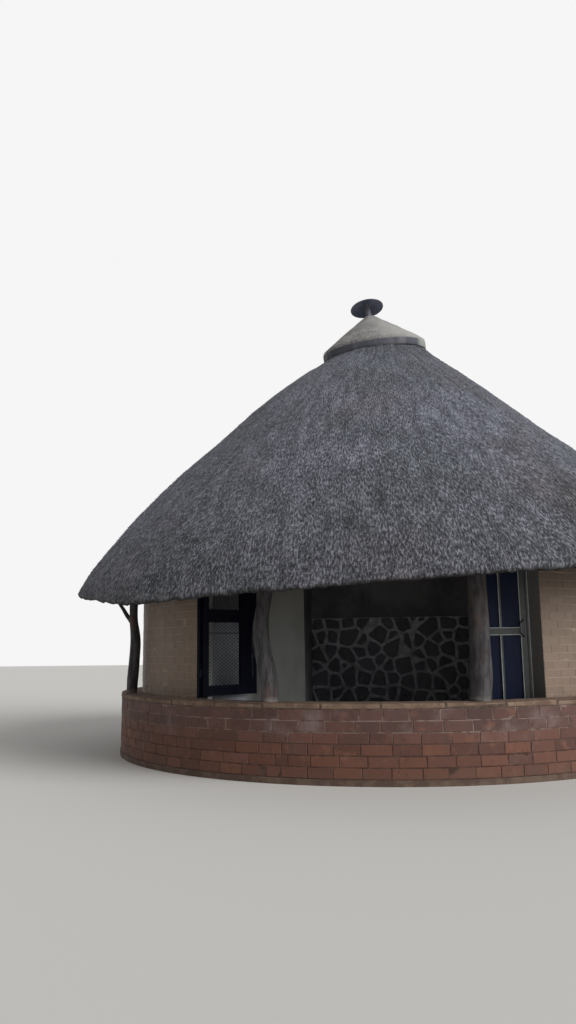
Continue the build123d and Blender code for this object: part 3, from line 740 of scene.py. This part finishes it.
# joint is the bed joint and upright the one between neighbours; bury is how deep a block is set
plinthSpec = {"radius": 3.531, "length": 0.269, "height": 0.110, "joint": 0.009, "upright": 0.009,
              "courses": 6, "z": 0.060, "from": -180.0, "to": 180.0, "closed": True, "variation": 0.07,
              "halves": 0.06, "seed": 11, "age": ([0, 2.4, 3, 4, 5], [0.0, 0.12, 0.35, 0.9, 1.0]),
              "proud": 0.004, "round": 0.005, "bury": 0.03, "bend": 2, "shapeSeed": 21, "uneven": 0.0010}
copingSpec = {"radius": 3.535, "slabs": 36, "joint": 0.008, "shift": 0.006, "seed": 12, "proud": 0.003,
              "round": 0.016, "bury": 0.270, "bend": 6, "shapeSeed": 22, "uneven": 0.0012}
paintedSpec = {"radius": 3.270, "length": 0.230, "height": 0.08535, "joint": 0.0045, "upright": 0.0022,
               "courses": 23, "z": 0.640, "from": 31.55, "to": 321.45, "closed": False,
               "variation": 0.03, "halves": 0.03, "seed": 13, "proud": 0.0026, "round": 0.003,
               "bury": 0.004, "bend": 1, "shapeSeed": 23, "uneven": 0.0004}


def copingSlabs(spec):
    # slabs of nearly equal length, as high as the ledge and a little proud of it
    count = spec["slabs"]
    draw = np.random.default_rng(spec["seed"])
    low, high = nodeBox("coping_front")
    edges = np.linspace(-pi, pi, count + 1) + np.append(draw.normal(0, spec["shift"], count), 0)
    edges[-1] = edges[0] + 2 * pi
    return {"angle": (edges[1:] + edges[:-1]) / 2,
            "halfWidth": (edges[1:] - edges[:-1]) / 2 * spec["radius"] - spec["joint"] / 2,
            "halfHeight": np.full(count, (high[2] - low[2] + spec["proud"]) / 2),
            "z": np.full(count, (high[2] + low[2] + spec["proud"]) / 2),
            "tone": draw.random(count)}


layBlocks("plinth_bricks", courses(plinthSpec), plinthSpec, "plinthBrick", "brick")
layBlocks("coping_slabs", copingSlabs(copingSpec), copingSpec, "copingSlab", "coping")
layBlocks("painted_bricks", courses(paintedSpec), paintedSpec, "paintedBrick", "painted_wall")
print("masonry laid")


# stone dado
dadoSpec = {"across": 320, "up": 180, "stonesAcross": 11, "stonesUp": 6, "scatter": 0.40, "sizes": 0.030,
            "joint": 0.021, "shoulder": 0.024, "crown": 0.013, "recess": 0.016,
            "margins": (0.002, 0.006), "back": 0.0005, "warp": 0.010, "tilt": 0.02, "rough": 0.0022,
            "fine": 0.0012, "seed": 31}


def makeDado():
    # height over the wall = crown x smooth step of how much nearer one stone's heart is than the next
    low, high = nodeBox("stone_dado")
    draw = np.random.default_rng(dadoSpec["seed"])
    columns, rows = dadoSpec["across"], dadoSpec["up"]
    left, right = dadoSpec["margins"]
    x = np.linspace(low[0] + left, high[0] - right, columns)[None, :] + np.zeros((rows, 1))
    z = np.linspace(low[2], high[2], rows)[:, None] + np.zeros((1, columns))
    u, v = (x - low[0]) / (high[0] - low[0]), (z - low[2]) / (high[2] - low[2])
    across, up = dadoSpec["stonesAcross"], dadoSpec["stonesUp"]
    hearts = np.stack(np.meshgrid(np.arange(-1, across + 1), np.arange(-1, up + 1)), -1)
    hearts = hearts.reshape(-1, 2) + 0.5
    hearts = hearts + draw.uniform(-1, 1, hearts.shape) * dadoSpec["scatter"]
    heartX = low[0] + hearts[:, 0] / across * (high[0] - low[0])
    heartZ = low[2] + hearts[:, 1] / up * (high[2] - low[2])
    bigger = draw.uniform(-1, 1, len(hearts)) * dadoSpec["sizes"]
    warpX = x + dadoSpec["warp"] * softNoise(u, v, 17, 11, 32)
    warpZ = z + dadoSpec["warp"] * softNoise(u, v, 19, 10, 33)
    gap = np.hypot(warpX[..., None] - heartX, warpZ[..., None] - heartZ) - bigger
    order = np.argsort(gap, -1)
    nearest = np.take_along_axis(gap, order[..., :2], -1)
    edge = np.clip((nearest[..., 1] - nearest[..., 0] - dadoSpec["joint"]) / dadoSpec["shoulder"], 0, 1)
    edge = edge * np.clip((high[2] - z) / dadoSpec["joint"], 0, 1)
    rise = edge * edge * (3 - 2 * edge)
    tilt = draw.normal(0, dadoSpec["tilt"], (len(hearts), 2))
    which = order[..., 0]
    slope = tilt[which, 0] * (x - heartX[which]) + tilt[which, 1] * (z - heartZ[which])
    rough = dadoSpec["rough"] * softNoise(u, v, 60, 34, 34)
    rough = rough + dadoSpec["fine"] * softNoise(u, v, 140, 80, 35)
    y = low[1] + dadoSpec["recess"] - rise * (dadoSpec["crown"] + slope) - rough * (0.3 + rise)
    y = np.maximum(y, low[1])
    front = np.stack([x, y, z], -1).reshape(-1, 3)
    number = np.arange(rows * columns).reshape(rows, columns)
    ring = np.concatenate([number[0, :-1], number[:-1, -1], number[-1, :0:-1], number[:0:-1, 0]])
    back = front[ring]
    back[:, 1] = high[1] - dadoSpec["back"]
    start, size = rows * columns, len(ring)
    i = np.arange(size)
    n = (i + 1) % size
    sides = np.stack([ring[i], ring[n], start + n, start + i], -1)
    faces = [gridFaces(rows, columns, wrap=False)[:, ::-1], sides[:, ::-1], (start + i)[None, :]]
    tone = np.concatenate([draw.random(len(hearts))[which].ravel(), np.full(size, 0.5)])
    joint = np.concatenate([1 - rise.ravel(), np.ones(size)])
    meshPiece("stone_cladding", np.concatenate([front, back]), faces, "dadoStone", "stone",
              replaces=["stone_dado"], values={"tone": tone, "joint": joint})


makeDado()
print("stones set")


# thatch
# rings: height, radius and the place of the centre to the right and back
thatchSpec = {
    "rings": [(1.70, 4.480, 0.235, 0), (2.15, 4.2995, 0.234, 0), (2.65, 3.914, 0.196, 0),
              (3.15, 3.441, 0.132, 0), (3.65, 2.907, 0.0865, 0.003), (4.15, 2.362, 0.069, 0.017),
              (4.65, 1.8435, 0.065, 0.041), (5.15, 1.276, 0.093, 0.073), (5.45, 0.895, 0.1305, 0.093),
              (5.71, 0.650, 0.136, 0.108)],
    "cut": (2.150, 0.060, 0.056), "tip": (1.661, -0.1137, 0.050), "axis": 0.070,
    "under": (3.970, 2.100, 0.985), "cavityTop": 5.4807, "topZ": 5.70, "across": 840, "down": 92,
    "lip": 0.030, "waves": 0.008, "tufts": 0.006, "ragged": 0.012, "cutRough": 0.014, "insideRough": 0.004,
    "bends": (25, 50, 75, 100), "cutRows": (0.12, 0.97, 7), "insideRows": 14, "mapRadius": 2.5,
    "clear": 0.004}
capSpec = {"place": (0.059, 0.0, 5.6957), "lean": 0.097, "forward": 0.132, "radius": 0.768,
           "rise": 0.510, "skirt": 0.1097, "wall": 0.040, "round": 0.026, "over": 0.034, "lift": 0.022,
           "blunt": 0.085, "dent": 0.0035, "across": 160}
strawSpec = {"count": 49000, "length": (0.05, 0.12), "width": (0.003, 0.0065), "lift": 0.010,
             "thinning": 0.86, "from": 0.010, "over": 0.975, "lean": 0.16, "sink": 0.004,
             "footSink": 0.006, "lifts": (0.2, 1.0), "seed": 42}
# fringeSpec's tone darkens the fringe, painted shade under the eave
fringeSpec = {"count": 12000, "length": (0.006, 0.020), "width": (0.004, 0.008), "in": (0.030, 0.05),
              "slope": (0.3, 0.9), "hang": -0.8, "scatter": 0.12, "foot": 0.03, "raise": 0.01,
              "tone": 0.4, "seed": 43}
lathSpec = {"from": 0.9, "to": 4.05, "spacing": 0.29, "radius": 0.011, "across": 96, "corners": 6,
            "overCut": 0.03}


def capAxes():
    # the cap leans: its place, then its own sideways, backward and upward axes
    upward = unit(np.array([-capSpec["lean"], -capSpec["forward"], 1.0]))
    sideways = unit(np.array([1.0, 0, capSpec["lean"]]))
    return np.array(capSpec["place"]), sideways, np.cross(upward, sideways), upward


def thatchRing(z):
    # radius and centre of the straw's outside at a height
    knots, radii, right, back = np.array(thatchSpec["rings"]).T
    return smoothCurve(knots, radii, z), smoothCurve(knots, right, z), smoothCurve(knots, back, z)


def ringPoint(turn, z):
    # the point of that ring at an angle from the right
    radius, right, back = thatchRing(z)
    return right + radius * np.cos(turn), back + radius * np.sin(turn)


def cutHeight(x, y):
    # the higher of the two slanting planes that trim the eave
    planes = (thatchSpec["cut"], thatchSpec["tip"])
    return np.maximum(*[height + right * x + back * y for height, right, back in planes])


def lipHeight(turn):
    # the height where the outside meets the slanting cut, by repeated substitution
    z = np.full(turn.shape, thatchSpec["cut"][0])
    for _ in range(8):
        z = cutHeight(*ringPoint(turn, z))
    return z


def topHeight(turn):
    # the straw ends a little below the sloping underside of the cap
    place, _, _, upward = capAxes()
    z = np.full(turn.shape, thatchSpec["topZ"])
    for _ in range(8):
        x, y = ringPoint(turn, z)
        under = place[2] - (upward[0] * (x - place[0]) + upward[1] * (y - place[1])) / upward[2]
        z = np.minimum(thatchSpec["topZ"], under - capSpec["wall"] - thatchSpec["clear"])
    return z


def outsidePoint(turn, share):
    # a point of the outside, its normal and its slope: share 0 is the eave lip, 1 the top under the cap
    lip = lipHeight(turn) + thatchSpec["lip"]
    z = lip + share * (topHeight(turn) - lip)
    step = 0.002
    fall = (thatchRing(z + step)[0] - thatchRing(z - step)[0]) / (2 * step)
    point = np.stack([*ringPoint(turn, z), z], -1)
    normal = unit(np.stack([np.cos(turn), np.sin(turn), -fall], -1))
    down = unit(np.stack([-fall * np.cos(turn), -fall * np.sin(turn), -np.ones_like(z)], -1))
    return point, normal, down


def thatchDent(turn, share):
    # how far the surface lies under the smooth form: long waves and small tufts, never proud of it
    u = turn / (2 * pi)
    waves = softNoise(u, share, 26, 9, 51) * 0.6 + softNoise(u, share, 61, 22, 52) * 0.4
    tufts = softNoise(u, share, 300, 60, 53)
    return thatchSpec["waves"] * (waves - 1) + thatchSpec["tufts"] * (tufts - 1)


def keepUnderCap(points):
    # inside the cap's skirt the straw is drawn in to the skirt's inner face
    place, _, _, upward = capAxes()
    limit = capSpec["radius"] - capSpec["wall"] - thatchSpec["clear"]
    height = (points - place) @ upward
    out = points - place - height[..., None] * upward
    away = np.linalg.norm(out, axis=-1)
    inside = (height > -capSpec["skirt"] - thatchSpec["clear"]) & (away > limit)
    drawn = points - out * (1 - limit / np.maximum(away, limit))[..., None]
    return np.where(inside[..., None], drawn, points)


def makeThatch():
    # one closed form: down the outside, round the lip, in along the cut, up the straight cone inside
    columns = thatchSpec["across"]
    turn = (turns(columns) + pi / 2)[None, :]
    share = np.linspace(1, 0, thatchSpec["down"])[:, None]
    across, up = np.broadcast_arrays(turn, share)
    outside, normal, down = outsidePoint(across, up)
    outside = keepUnderCap(outside + normal * thatchDent(across, up)[..., None])
    lipRow, lipNormal, lipDown = outside[-1], normal[-1], down[-1]
    u = turn / (2 * pi)
    ragged = thatchSpec["ragged"] * softNoise(u[0], np.zeros(columns), 420, 1, 54)
    bend = np.radians(thatchSpec["bends"])[:, None, None]
    rounding = lipRow + thatchSpec["lip"] * (np.sin(bend) * lipDown - (1 - np.cos(bend)) * lipNormal)
    rounding[..., 2] += ragged[None] * np.linspace(0.2, 1, len(bend))[:, None]
    (radius, rise, run), axis = thatchSpec["under"], thatchSpec["axis"]
    reach = np.full(columns, radius)
    for _ in range(8):
        z = cutHeight(axis + reach * np.cos(turn[0]), reach * np.sin(turn[0]))
        reach = radius - (z - rise) * run
    inner = np.stack([axis + reach * np.cos(turn[0]), reach * np.sin(turn[0]), z], -1)
    steps = np.linspace(*thatchSpec["cutRows"])[:, None, None]
    cutFace = rounding[-1] * (1 - steps) + inner * steps
    cutFace[..., 2] += thatchSpec["cutRough"] * softNoise(u, steps[..., 0], 380, 7, 55)
    climb = np.linspace(0, 1, thatchSpec["insideRows"])[:, None]
    innerZ = z * (1 - climb) + thatchSpec["cavityTop"] * climb
    innerR = radius - (innerZ - rise) * run
    innerR = innerR + thatchSpec["insideRough"] * softNoise(u, climb, 200, 14, 56) * (climb > 0)
    inside = np.stack([axis + innerR * np.cos(turn), innerR * np.sin(turn), innerZ], -1)
    grid = np.concatenate([outside, rounding, cutFace, inside])
    points, faces = cappedGrid(grid)
    rows = len(grid)
    lengths = np.linalg.norm(np.diff(grid[:, 0], axis=0), axis=-1)
    v = np.concatenate([[0], np.cumsum(lengths)])
    r = np.arange(rows - 1)[:, None]
    c = np.arange(columns)[None, :]
    width = 2 * pi * thatchSpec["mapRadius"] / columns
    corners = [(c, r), (c, r + 1), (c + 1, r + 1), (c + 1, r)]
    uv = np.stack([np.stack(np.broadcast_arrays(a * width, v[b]), -1) for a, b in corners], -2)
    uv = [uv.reshape(-1, 4, 2), np.zeros((columns, 3, 2)), np.zeros((columns, 3, 2))]
    lip = thatchSpec["down"] - 1
    under = np.interp(np.arange(rows), [lip, lip + len(bend)], [0, 1])
    meshPiece("thatch_cover", points, faces, "thatchReed", "thatch", replaces=["thatch"], uv=uv,
              values={"under": np.concatenate([np.repeat(under, columns), [0, 1]])})


def reeds(foot, tip, across, normal, width):
    # each reed is a slim three sided spike: three corners at its tip, a point at its foot
    corners = [tip + across * width, tip - across * width, tip + normal * width * 1.2, foot]
    points = np.stack(corners, 1).reshape(-1, 3)
    start = np.arange(len(foot))[:, None] * 4
    corners = np.array([(0, 1, 2), (0, 3, 1), (1, 3, 2), (2, 3, 0)])
    return points, [np.concatenate([start + f for f in corners])]


def makeReeds():
    # single reeds scattered over the outside, thinner towards the top, each half sunk in
    draw = np.random.default_rng(strawSpec["seed"])
    count = strawSpec["count"]
    share = draw.random(count * 4)
    keep = draw.random(count * 4) < 1 - strawSpec["thinning"] * share
    share = strawSpec["from"] + share[keep][:count] * strawSpec["over"]
    turn = draw.random(len(share)) * 2 * pi
    point, normal, down = outsidePoint(turn, share)
    point = point + normal * (thatchDent(turn, share) - strawSpec["sink"])[:, None]
    across = np.cross(normal, down)
    along = unit(down + across * draw.normal(0, strawSpec["lean"], (len(share), 1)))
    length = draw.uniform(*strawSpec["length"], (len(share), 1))
    lift = draw.uniform(*strawSpec["lifts"], (len(share), 1)) * strawSpec["lift"]
    tip = point + along * length * 0.5 + normal * lift
    foot = point - along * length * 0.5 - normal * strawSpec["footSink"]
    width = draw.uniform(*strawSpec["width"], (len(share), 1)) / 2
    points, faces = reeds(foot, tip, np.cross(normal, along), normal, width)
    tone = np.repeat(draw.random(len(share)), 4)
    meshPiece("thatch_reeds", keepUnderCap(points), faces, "reedEnds", "thatch", smooth=False,
              values={"tone": tone})


def makeFringe():
    # reed ends along the lip, hanging a little below the cut; their tones are kept dark as painted shade
    # under the eave
    draw = np.random.default_rng(fringeSpec["seed"])
    count = fringeSpec["count"]
    turn = (np.arange(count) + draw.random(count)) / count * 2 * pi
    point, normal, down = outsidePoint(turn, np.zeros(count))
    inward = draw.random((count, 1)) ** 2
    nearest, further = fringeSpec["in"]
    start = point - normal * (nearest + further * inward) + down * thatchSpec["lip"] * 0.1
    along = down * draw.uniform(*fringeSpec["slope"], (count, 1)) + np.array([0, 0, fringeSpec["hang"]])
    along = unit(along + draw.normal(0, fringeSpec["scatter"], (count, 3)))
    length = draw.uniform(*fringeSpec["length"], (count, 1)) * (1 - 0.4 * inward)
    across = unit(np.cross(normal, along))
    width = draw.uniform(*fringeSpec["width"], (count, 1)) / 2
    foot = start - along * fringeSpec["foot"]
    foot[:, 2] += fringeSpec["raise"]
    points, faces = reeds(foot, start + along * length, across, np.cross(along, across), width)
    # painted shade: the fringe's tones are scaled towards the dark end
    tone = np.repeat(draw.random(count) * fringeSpec["tone"], 4)
    meshPiece("eave_fringe", points, faces, "reedEnds", "thatch", smooth=False, values={"tone": tone})


def makeLaths():
    # thin rings under the straw, nailed over the poles, sunk half into the cover
    radius, rise, run = thatchSpec["under"]
    count, corners = lathSpec["across"], lathSpec["corners"]
    turn, around = turns(count)[:, None], turns(corners)[None, :]
    parts = []
    for ring in np.arange(lathSpec["from"], lathSpec["to"], lathSpec["spacing"]):
        away = ring + lathSpec["radius"] * np.cos(around)
        z = rise + (radius - ring) / run + lathSpec["radius"] * np.sin(around)
        x, y = thatchSpec["axis"] + away * np.cos(turn), away * np.sin(turn)
        z = np.maximum(z + 0 * x, cutHeight(x, y) + lathSpec["overCut"])
        quads = gridFaces(count + 1, corners) % (count * corners)
        parts.append((np.stack([x, y, z], -1).reshape(-1, 3), [quads]))
    points, faces = joinMeshes(parts)
    meshPiece("roof_laths", points, faces, "poleBark", "pole")


makeThatch()
makeReeds()
makeFringe()
makeLaths()
print("roof thatched")


# cement cap
def makeCap():
    # a profile turned round the leaning axis, a few millimetres uneven, with a rounded shoulder
    radius, rise, skirt, wall, soft, over, lift = (
        capSpec[key] for key in ("radius", "rise", "skirt", "wall", "round", "over", "lift"))
    s = np.linspace(capSpec["blunt"], 0.965, 26)
    cone = np.stack([radius * s, lift + rise * (1 - s) + over * (1 - s**3) - 0.004 * np.sin(pi * s)], -1)
    shoulder = [(radius - soft * 0.45, lift + 0.010), (radius - soft * 0.12, lift - 0.008)]
    edge = [(radius - 0.001, -0.030), (radius - 0.003, -skirt * 0.6), (radius - 0.002, -skirt + 0.008),
            (radius - 0.010, -skirt), (radius - wall + 0.004, -skirt), (radius - wall, -skirt + 0.006)]
    hollow, bend = rise - 2 * wall, 0.4
    under = [(radius - wall, -wall), (bend, hollow * (1 - bend / (radius - wall)) - wall * 0.4),
             (0.02, hollow)]
    shape = np.concatenate([cone, shoulder, edge, under])
    columns = capSpec["across"]
    u = np.arange(columns) / columns
    down = np.linspace(0, 1, len(shape))[:, None]
    dent = capSpec["dent"] * (softNoise(u[None], down, 24, 14, 61) - 1)
    away = np.maximum(shape[:, :1] + dent, 0.004)
    turn = 2 * pi * u[None]
    place, sideways, backward, upward = capAxes()
    height = shape[:, 1:] + dent * 0.5
    grid = (place + (away * np.cos(turn))[..., None] * sideways
            + (away * np.sin(turn))[..., None] * backward + (height + 0 * turn)[..., None] * upward)
    points, faces = cappedGrid(grid)
    skirtMask = np.interp(np.arange(len(shape)), [0, 10, 25, 27, 28], [0, 0.12, 0.7, 0.75, 1.0])
    meshPiece("cement_cap", points, faces, "capCement", "cement", replaces=["roof_cap"],
              values={"skirt": np.concatenate([np.repeat(skirtMask, columns), [0, 1]])})


makeCap()


# tree posts
postSpec = {"stance": 3.412, "beam": 3.405, "axis": 0.070, "sides": 40, "rows": 90, "ridges": 0.005,
            "knots": 0.009}
# bearing in degrees, then rings: share of the height, place to the right and outwards and radius, in mm
postRings = {
    "left": (-66.0, [(0, 0, 26, 73), (0.25, 12, 15, 72), (0.42, 8, 20, 68), (0.56, -6, 56, 56),
                     (0.72, 0, 66, 56), (1, 15, 38, 66)]),
    "middle": (-19.3, [(0, 0, 0, 92), (0.1, -6, 5, 98), (0.2, -40, 8, 94), (0.31, -94, 10, 92),
                       (0.44, -126, 18, 88), (0.56, -116, 18, 80), (0.68, -82, 15, 74), (1, -20, 0, 74)]),
    "right": (16.6, [(0, 0, 0, 104), (0.12, 18, 0, 118), (0.35, -4, 10, 104), (0.55, -14, 10, 106),
                     (0.75, -30, 10, 92), (1, -40, 0, 74)]),
    "far_right": (63.0, [(0, 0, 0, 92), (0.2, -16, 0, 84), (0.5, 12, 5, 80), (0.75, -8, 0, 78),
                         (1, 0, 0, 76)]),
}
branchSpec = {"start": 0.47, "radii": (0.034, 0.018), "reach": -0.290, "rise": 0.430, "rows": 14,
              "sides": 16, "ridges": 0.003}


def makePost(name, angle, rings, seed):
    # circles carried up a crooked path, with upright ridges and a few swellings
    low, high = nodeBox("post_" + name)
    share, across, outwards, radius = np.array(rings, float).T
    at = np.linspace(0, 1, postSpec["rows"])
    out = np.array([sin(radians(angle)), -cos(radians(angle)), 0])
    side = np.array([cos(radians(angle)), sin(radians(angle)), 0])
    foot, top = out * postSpec["stance"], out * postSpec["beam"] + np.array([postSpec["axis"], 0, 0])
    centre = foot + at[:, None] * (top - foot)
    centre = centre + smoothCurve(share, across / 1000, at)[:, None] * side
    centre = centre + smoothCurve(share, outwards / 1000, at)[:, None] * out
    centre[:, 2] = low[2] + at * (high[2] - low[2])
    girth = smoothCurve(share, radius / 1000, at)

    def shape(u, v):
        ridges = softNoise(u, v, 13, 5, seed) * 0.7 + softNoise(u, v, 26, 16, seed + 1) * 0.3
        swellings = np.maximum(softNoise(u, v, 3, 9, seed + 2), 0) ** 2
        return postSpec["ridges"] * (ridges - 0.5) + postSpec["knots"] * (swellings - 0.3)

    parts = [cappedGrid(tube(centre, girth, postSpec["sides"], (0, 1, 0.01), shape))]
    if name == "left":
        start = foot + (top - foot) * branchSpec["start"] + side * across[2] / 1000
        start[2] = low[2] + branchSpec["start"] * (high[2] - low[2])
        step = np.linspace(0, 1, branchSpec["rows"])[:, None]
        away = step * np.array([branchSpec["reach"], 0, branchSpec["rise"]])
        limb = tube(start + away, np.linspace(*branchSpec["radii"], len(step)), branchSpec["sides"], out,
                    lambda u, v: branchSpec["ridges"] * softNoise(u, v, 7, 6, seed + 5))
        parts.append(cappedGrid(limb))
    points, faces = joinMeshes(parts)
    meshPiece("trunk_" + name, points, faces, "postBark", "timber", replaces=["post_" + name])


for number, (name, (angle, rings)) in enumerate(postRings.items()):
    makePost(name, angle, rings, 71 + 10 * number)
print("posts stood")


# gate mesh and door beads
gateSpec = {"pin": (-1.99030, -2.56962), "angle": 48.6, "left": 0.101, "right": 0.560,
            "panels": [(0.912, 1.622), (1.770, 2.255)], "over": 0.004, "wide": 0.061, "tall": 0.038,
            "strand": 0.0019, "apart": 0.0005, "rod": (1.50, 0.004)}


def gatePoint(along, off, z):
    # a place on the open leaf: along it from its pin, off its face, and up
    a = radians(gateSpec["angle"])
    x = gateSpec["pin"][0] + along * cos(a) - off * sin(a)
    y = gateSpec["pin"][1] + along * sin(a) + off * cos(a)
    return np.stack(np.broadcast_arrays(x, y, z), -1)


def makeGateMesh():
    # zigzag strands: a pair for each row of diamonds, meeting at every half diamond
    wide, tall, over = gateSpec["wide"], gateSpec["tall"], gateSpec["over"]
    left, right = gateSpec["left"] - over, gateSpec["right"] + over
    steps = int(ceil((right - left) / (wide / 2)))
    along = np.linspace(left, right, steps + 1)
    zig = (np.arange(steps + 1) % 2) * tall / 2
    parts = []
    for low, high in gateSpec["panels"]:
        for row in np.arange(int((high - low) / tall) + 1):
            for sign in (1, -1):
                z = np.clip(low + (row + 0.25) * tall + sign * zig, low - over, high + over)
                if np.ptp(z) < tall / 8:
                    continue
                path = gatePoint(along, gateSpec["apart"] * sign, z)
                parts.append(cappedGrid(tube(path, gateSpec["strand"], 4)))
    height, thickness = gateSpec["rod"]
    parts.append(cappedGrid(tube(gatePoint(along[[0, -1]], 0, height), thickness, 8)))
    points, faces = joinMeshes(parts)
    meshPiece("gate_diamond_mesh", points, faces, "navyPaint", "mesh_metal", body="gate", smooth=False,
              replaces=["gate_mesh"])


makeGateMesh()


beadSpec = {"wide": 0.008, "thick": 0.0022, "rail": (1.4285, 1.5115), "stile": 0.066, "bar": 0.283,
            "foot": 0.095, "head": 0.080, "edge": 1.6150, "gap": 0.001, "short": 0.002}


def strip(left, right, front, low, high):
    # a flat bead: a box beadSpec thick that stands on the plane y = front
    x, y, z = np.meshgrid((left, right), (front - beadSpec["thick"], front), (low, high), indexing="ij")
    faces = [[0, 1, 3, 2], [4, 6, 7, 5], [0, 4, 5, 1], [2, 3, 7, 6], [0, 2, 6, 4], [1, 5, 7, 3]]
    return np.stack([x, y, z], -1).reshape(-1, 3), [np.array(faces)]


def makeBeads():
    # glazing beads on the leaf and a cover strip on the frame's outer edge
    wide, gap, short, (railLow, railHigh) = (beadSpec[key] for key in ("wide", "gap", "short", "rail"))
    low, high = nodeBox("door_leaf")
    foot, head, front = low[2] + beadSpec["foot"], high[2] - beadSpec["head"], low[1]
    left, inner, bar = low[0] + beadSpec["stile"], high[0] - beadSpec["stile"], high[0] - beadSpec["bar"]
    parts = [strip(inner, inner + wide, front, foot - wide, head + wide)]
    parts += [strip(left, inner - gap, front, z, z + wide) for z in (railLow, railHigh - wide)]
    parts += [strip(bar, bar + wide, front, foot, railLow - gap)]
    parts += [strip(bar, bar + wide, front, railHigh + gap, head)]
    meshPiece("glazing_beads", *joinMeshes(parts), "beadPaint", "door_metal", body="door", smooth=False)
    low, high = nodeBox("door_frame")
    edge = strip(beadSpec["edge"] - wide, beadSpec["edge"], low[1], low[2] + short, high[2] - short)
    meshPiece("frame_bead", *edge, "beadPaint", "door_metal", smooth=False)


makeBeads()
print("gate and door trimmed")


# stage, light and camera
cameraSpec = {"eye": (0, -11.662, 1.3195), "yaw": -6.19, "pitch": 9.52, "roll": -0.72, "focal": 811.7,
              "longSide": 1024, "sensor": 36.0}
lightSpec = {"sun": 3.0, "sunAngle": 38.0, "from": (0.82, -0.50, 0.44), "sky": 0.34, "seenSky": 0.92}
stageSize = 60.0


def makeCamera():
    # axes from yaw, pitch and roll; the lens from the focal length in pixels of the long side
    yaw, pitch, roll = (radians(cameraSpec[key]) for key in ("yaw", "pitch", "roll"))
    forward = Vector((sin(yaw) * cos(pitch), cos(yaw) * cos(pitch), sin(pitch)))
    right = Vector((cos(yaw), -sin(yaw), 0))
    up = right.cross(forward)
    right, up = cos(roll) * right + sin(roll) * up, cos(roll) * up - sin(roll) * right
    data = bpy.data.cameras.new("photoCamera")
    data.sensor_width = cameraSpec["sensor"]
    data.lens = cameraSpec["focal"] * cameraSpec["sensor"] / cameraSpec["longSide"]
    data.clip_end = 200
    camera = bpy.data.objects.new("photoCamera", data)
    turned = Matrix((right, up, -forward)).transposed().to_4x4()
    camera.matrix_world = Matrix.Translation(cameraSpec["eye"]) @ turned
    bpy.context.scene.collection.objects.link(camera)
    bpy.context.scene.camera = camera


def makeStage():
    # a pale floor under the hut, for the picture only
    mesh = bpy.data.meshes.new("stage_floor")
    corners = [(stageSize * x, stageSize * y, 0) for x, y in ((-1, -1), (1, -1), (1, 1), (-1, 1))]
    mesh.from_pydata(corners, [], [(0, 1, 2, 3)])
    shader = newFinish("stageFloor")[1]
    shader.inputs["Base Color"].default_value = srgb(214, 212, 208)
    shader.inputs["Roughness"].default_value = 0.9
    mesh.materials.append(finishes["stageFloor"])
    floor = bpy.data.objects.new("stage_floor", mesh)
    bpy.context.scene.collection.objects.link(floor)


def makeLight():
    # a soft sun and a pale sky, which the eye sees brighter than it lights
    sun = bpy.data.lights.new("softSun", "SUN")
    sun.energy = lightSpec["sun"]
    sun.angle = radians(lightSpec["sunAngle"])
    lamp = bpy.data.objects.new("softSun", sun)
    lamp.rotation_mode = "QUATERNION"
    lamp.rotation_quaternion = Vector(lightSpec["from"]).to_track_quat("Z", "Y")
    bpy.context.scene.collection.objects.link(lamp)
    world = bpy.data.worlds.new("paleSky")
    bpy.context.scene.world = world
    world.use_nodes = True
    tree = world.node_tree
    tree.nodes.clear()
    rays = addNode(tree, "LightPath").outputs
    seen = combine(tree, "MAXIMUM", rays["Is Camera Ray"],
                   combine(tree, "MAXIMUM", rays["Is Glossy Ray"], rays["Is Transmission Ray"]))
    limits = {"Value": seen, "To Min": lightSpec["sky"], "To Max": lightSpec["seenSky"]}
    strength = addNode(tree, "MapRange", limits).outputs[0]
    background = addNode(tree, "Background", {"Color": (1, 1, 1, 1), "Strength": strength})
    tree.links.new(background.outputs[0], addNode(tree, "OutputWorld").inputs[0])


makeCamera()
makeStage()
makeLight()
bpy.context.scene.view_settings.view_transform = "Standard"
print("stage set")
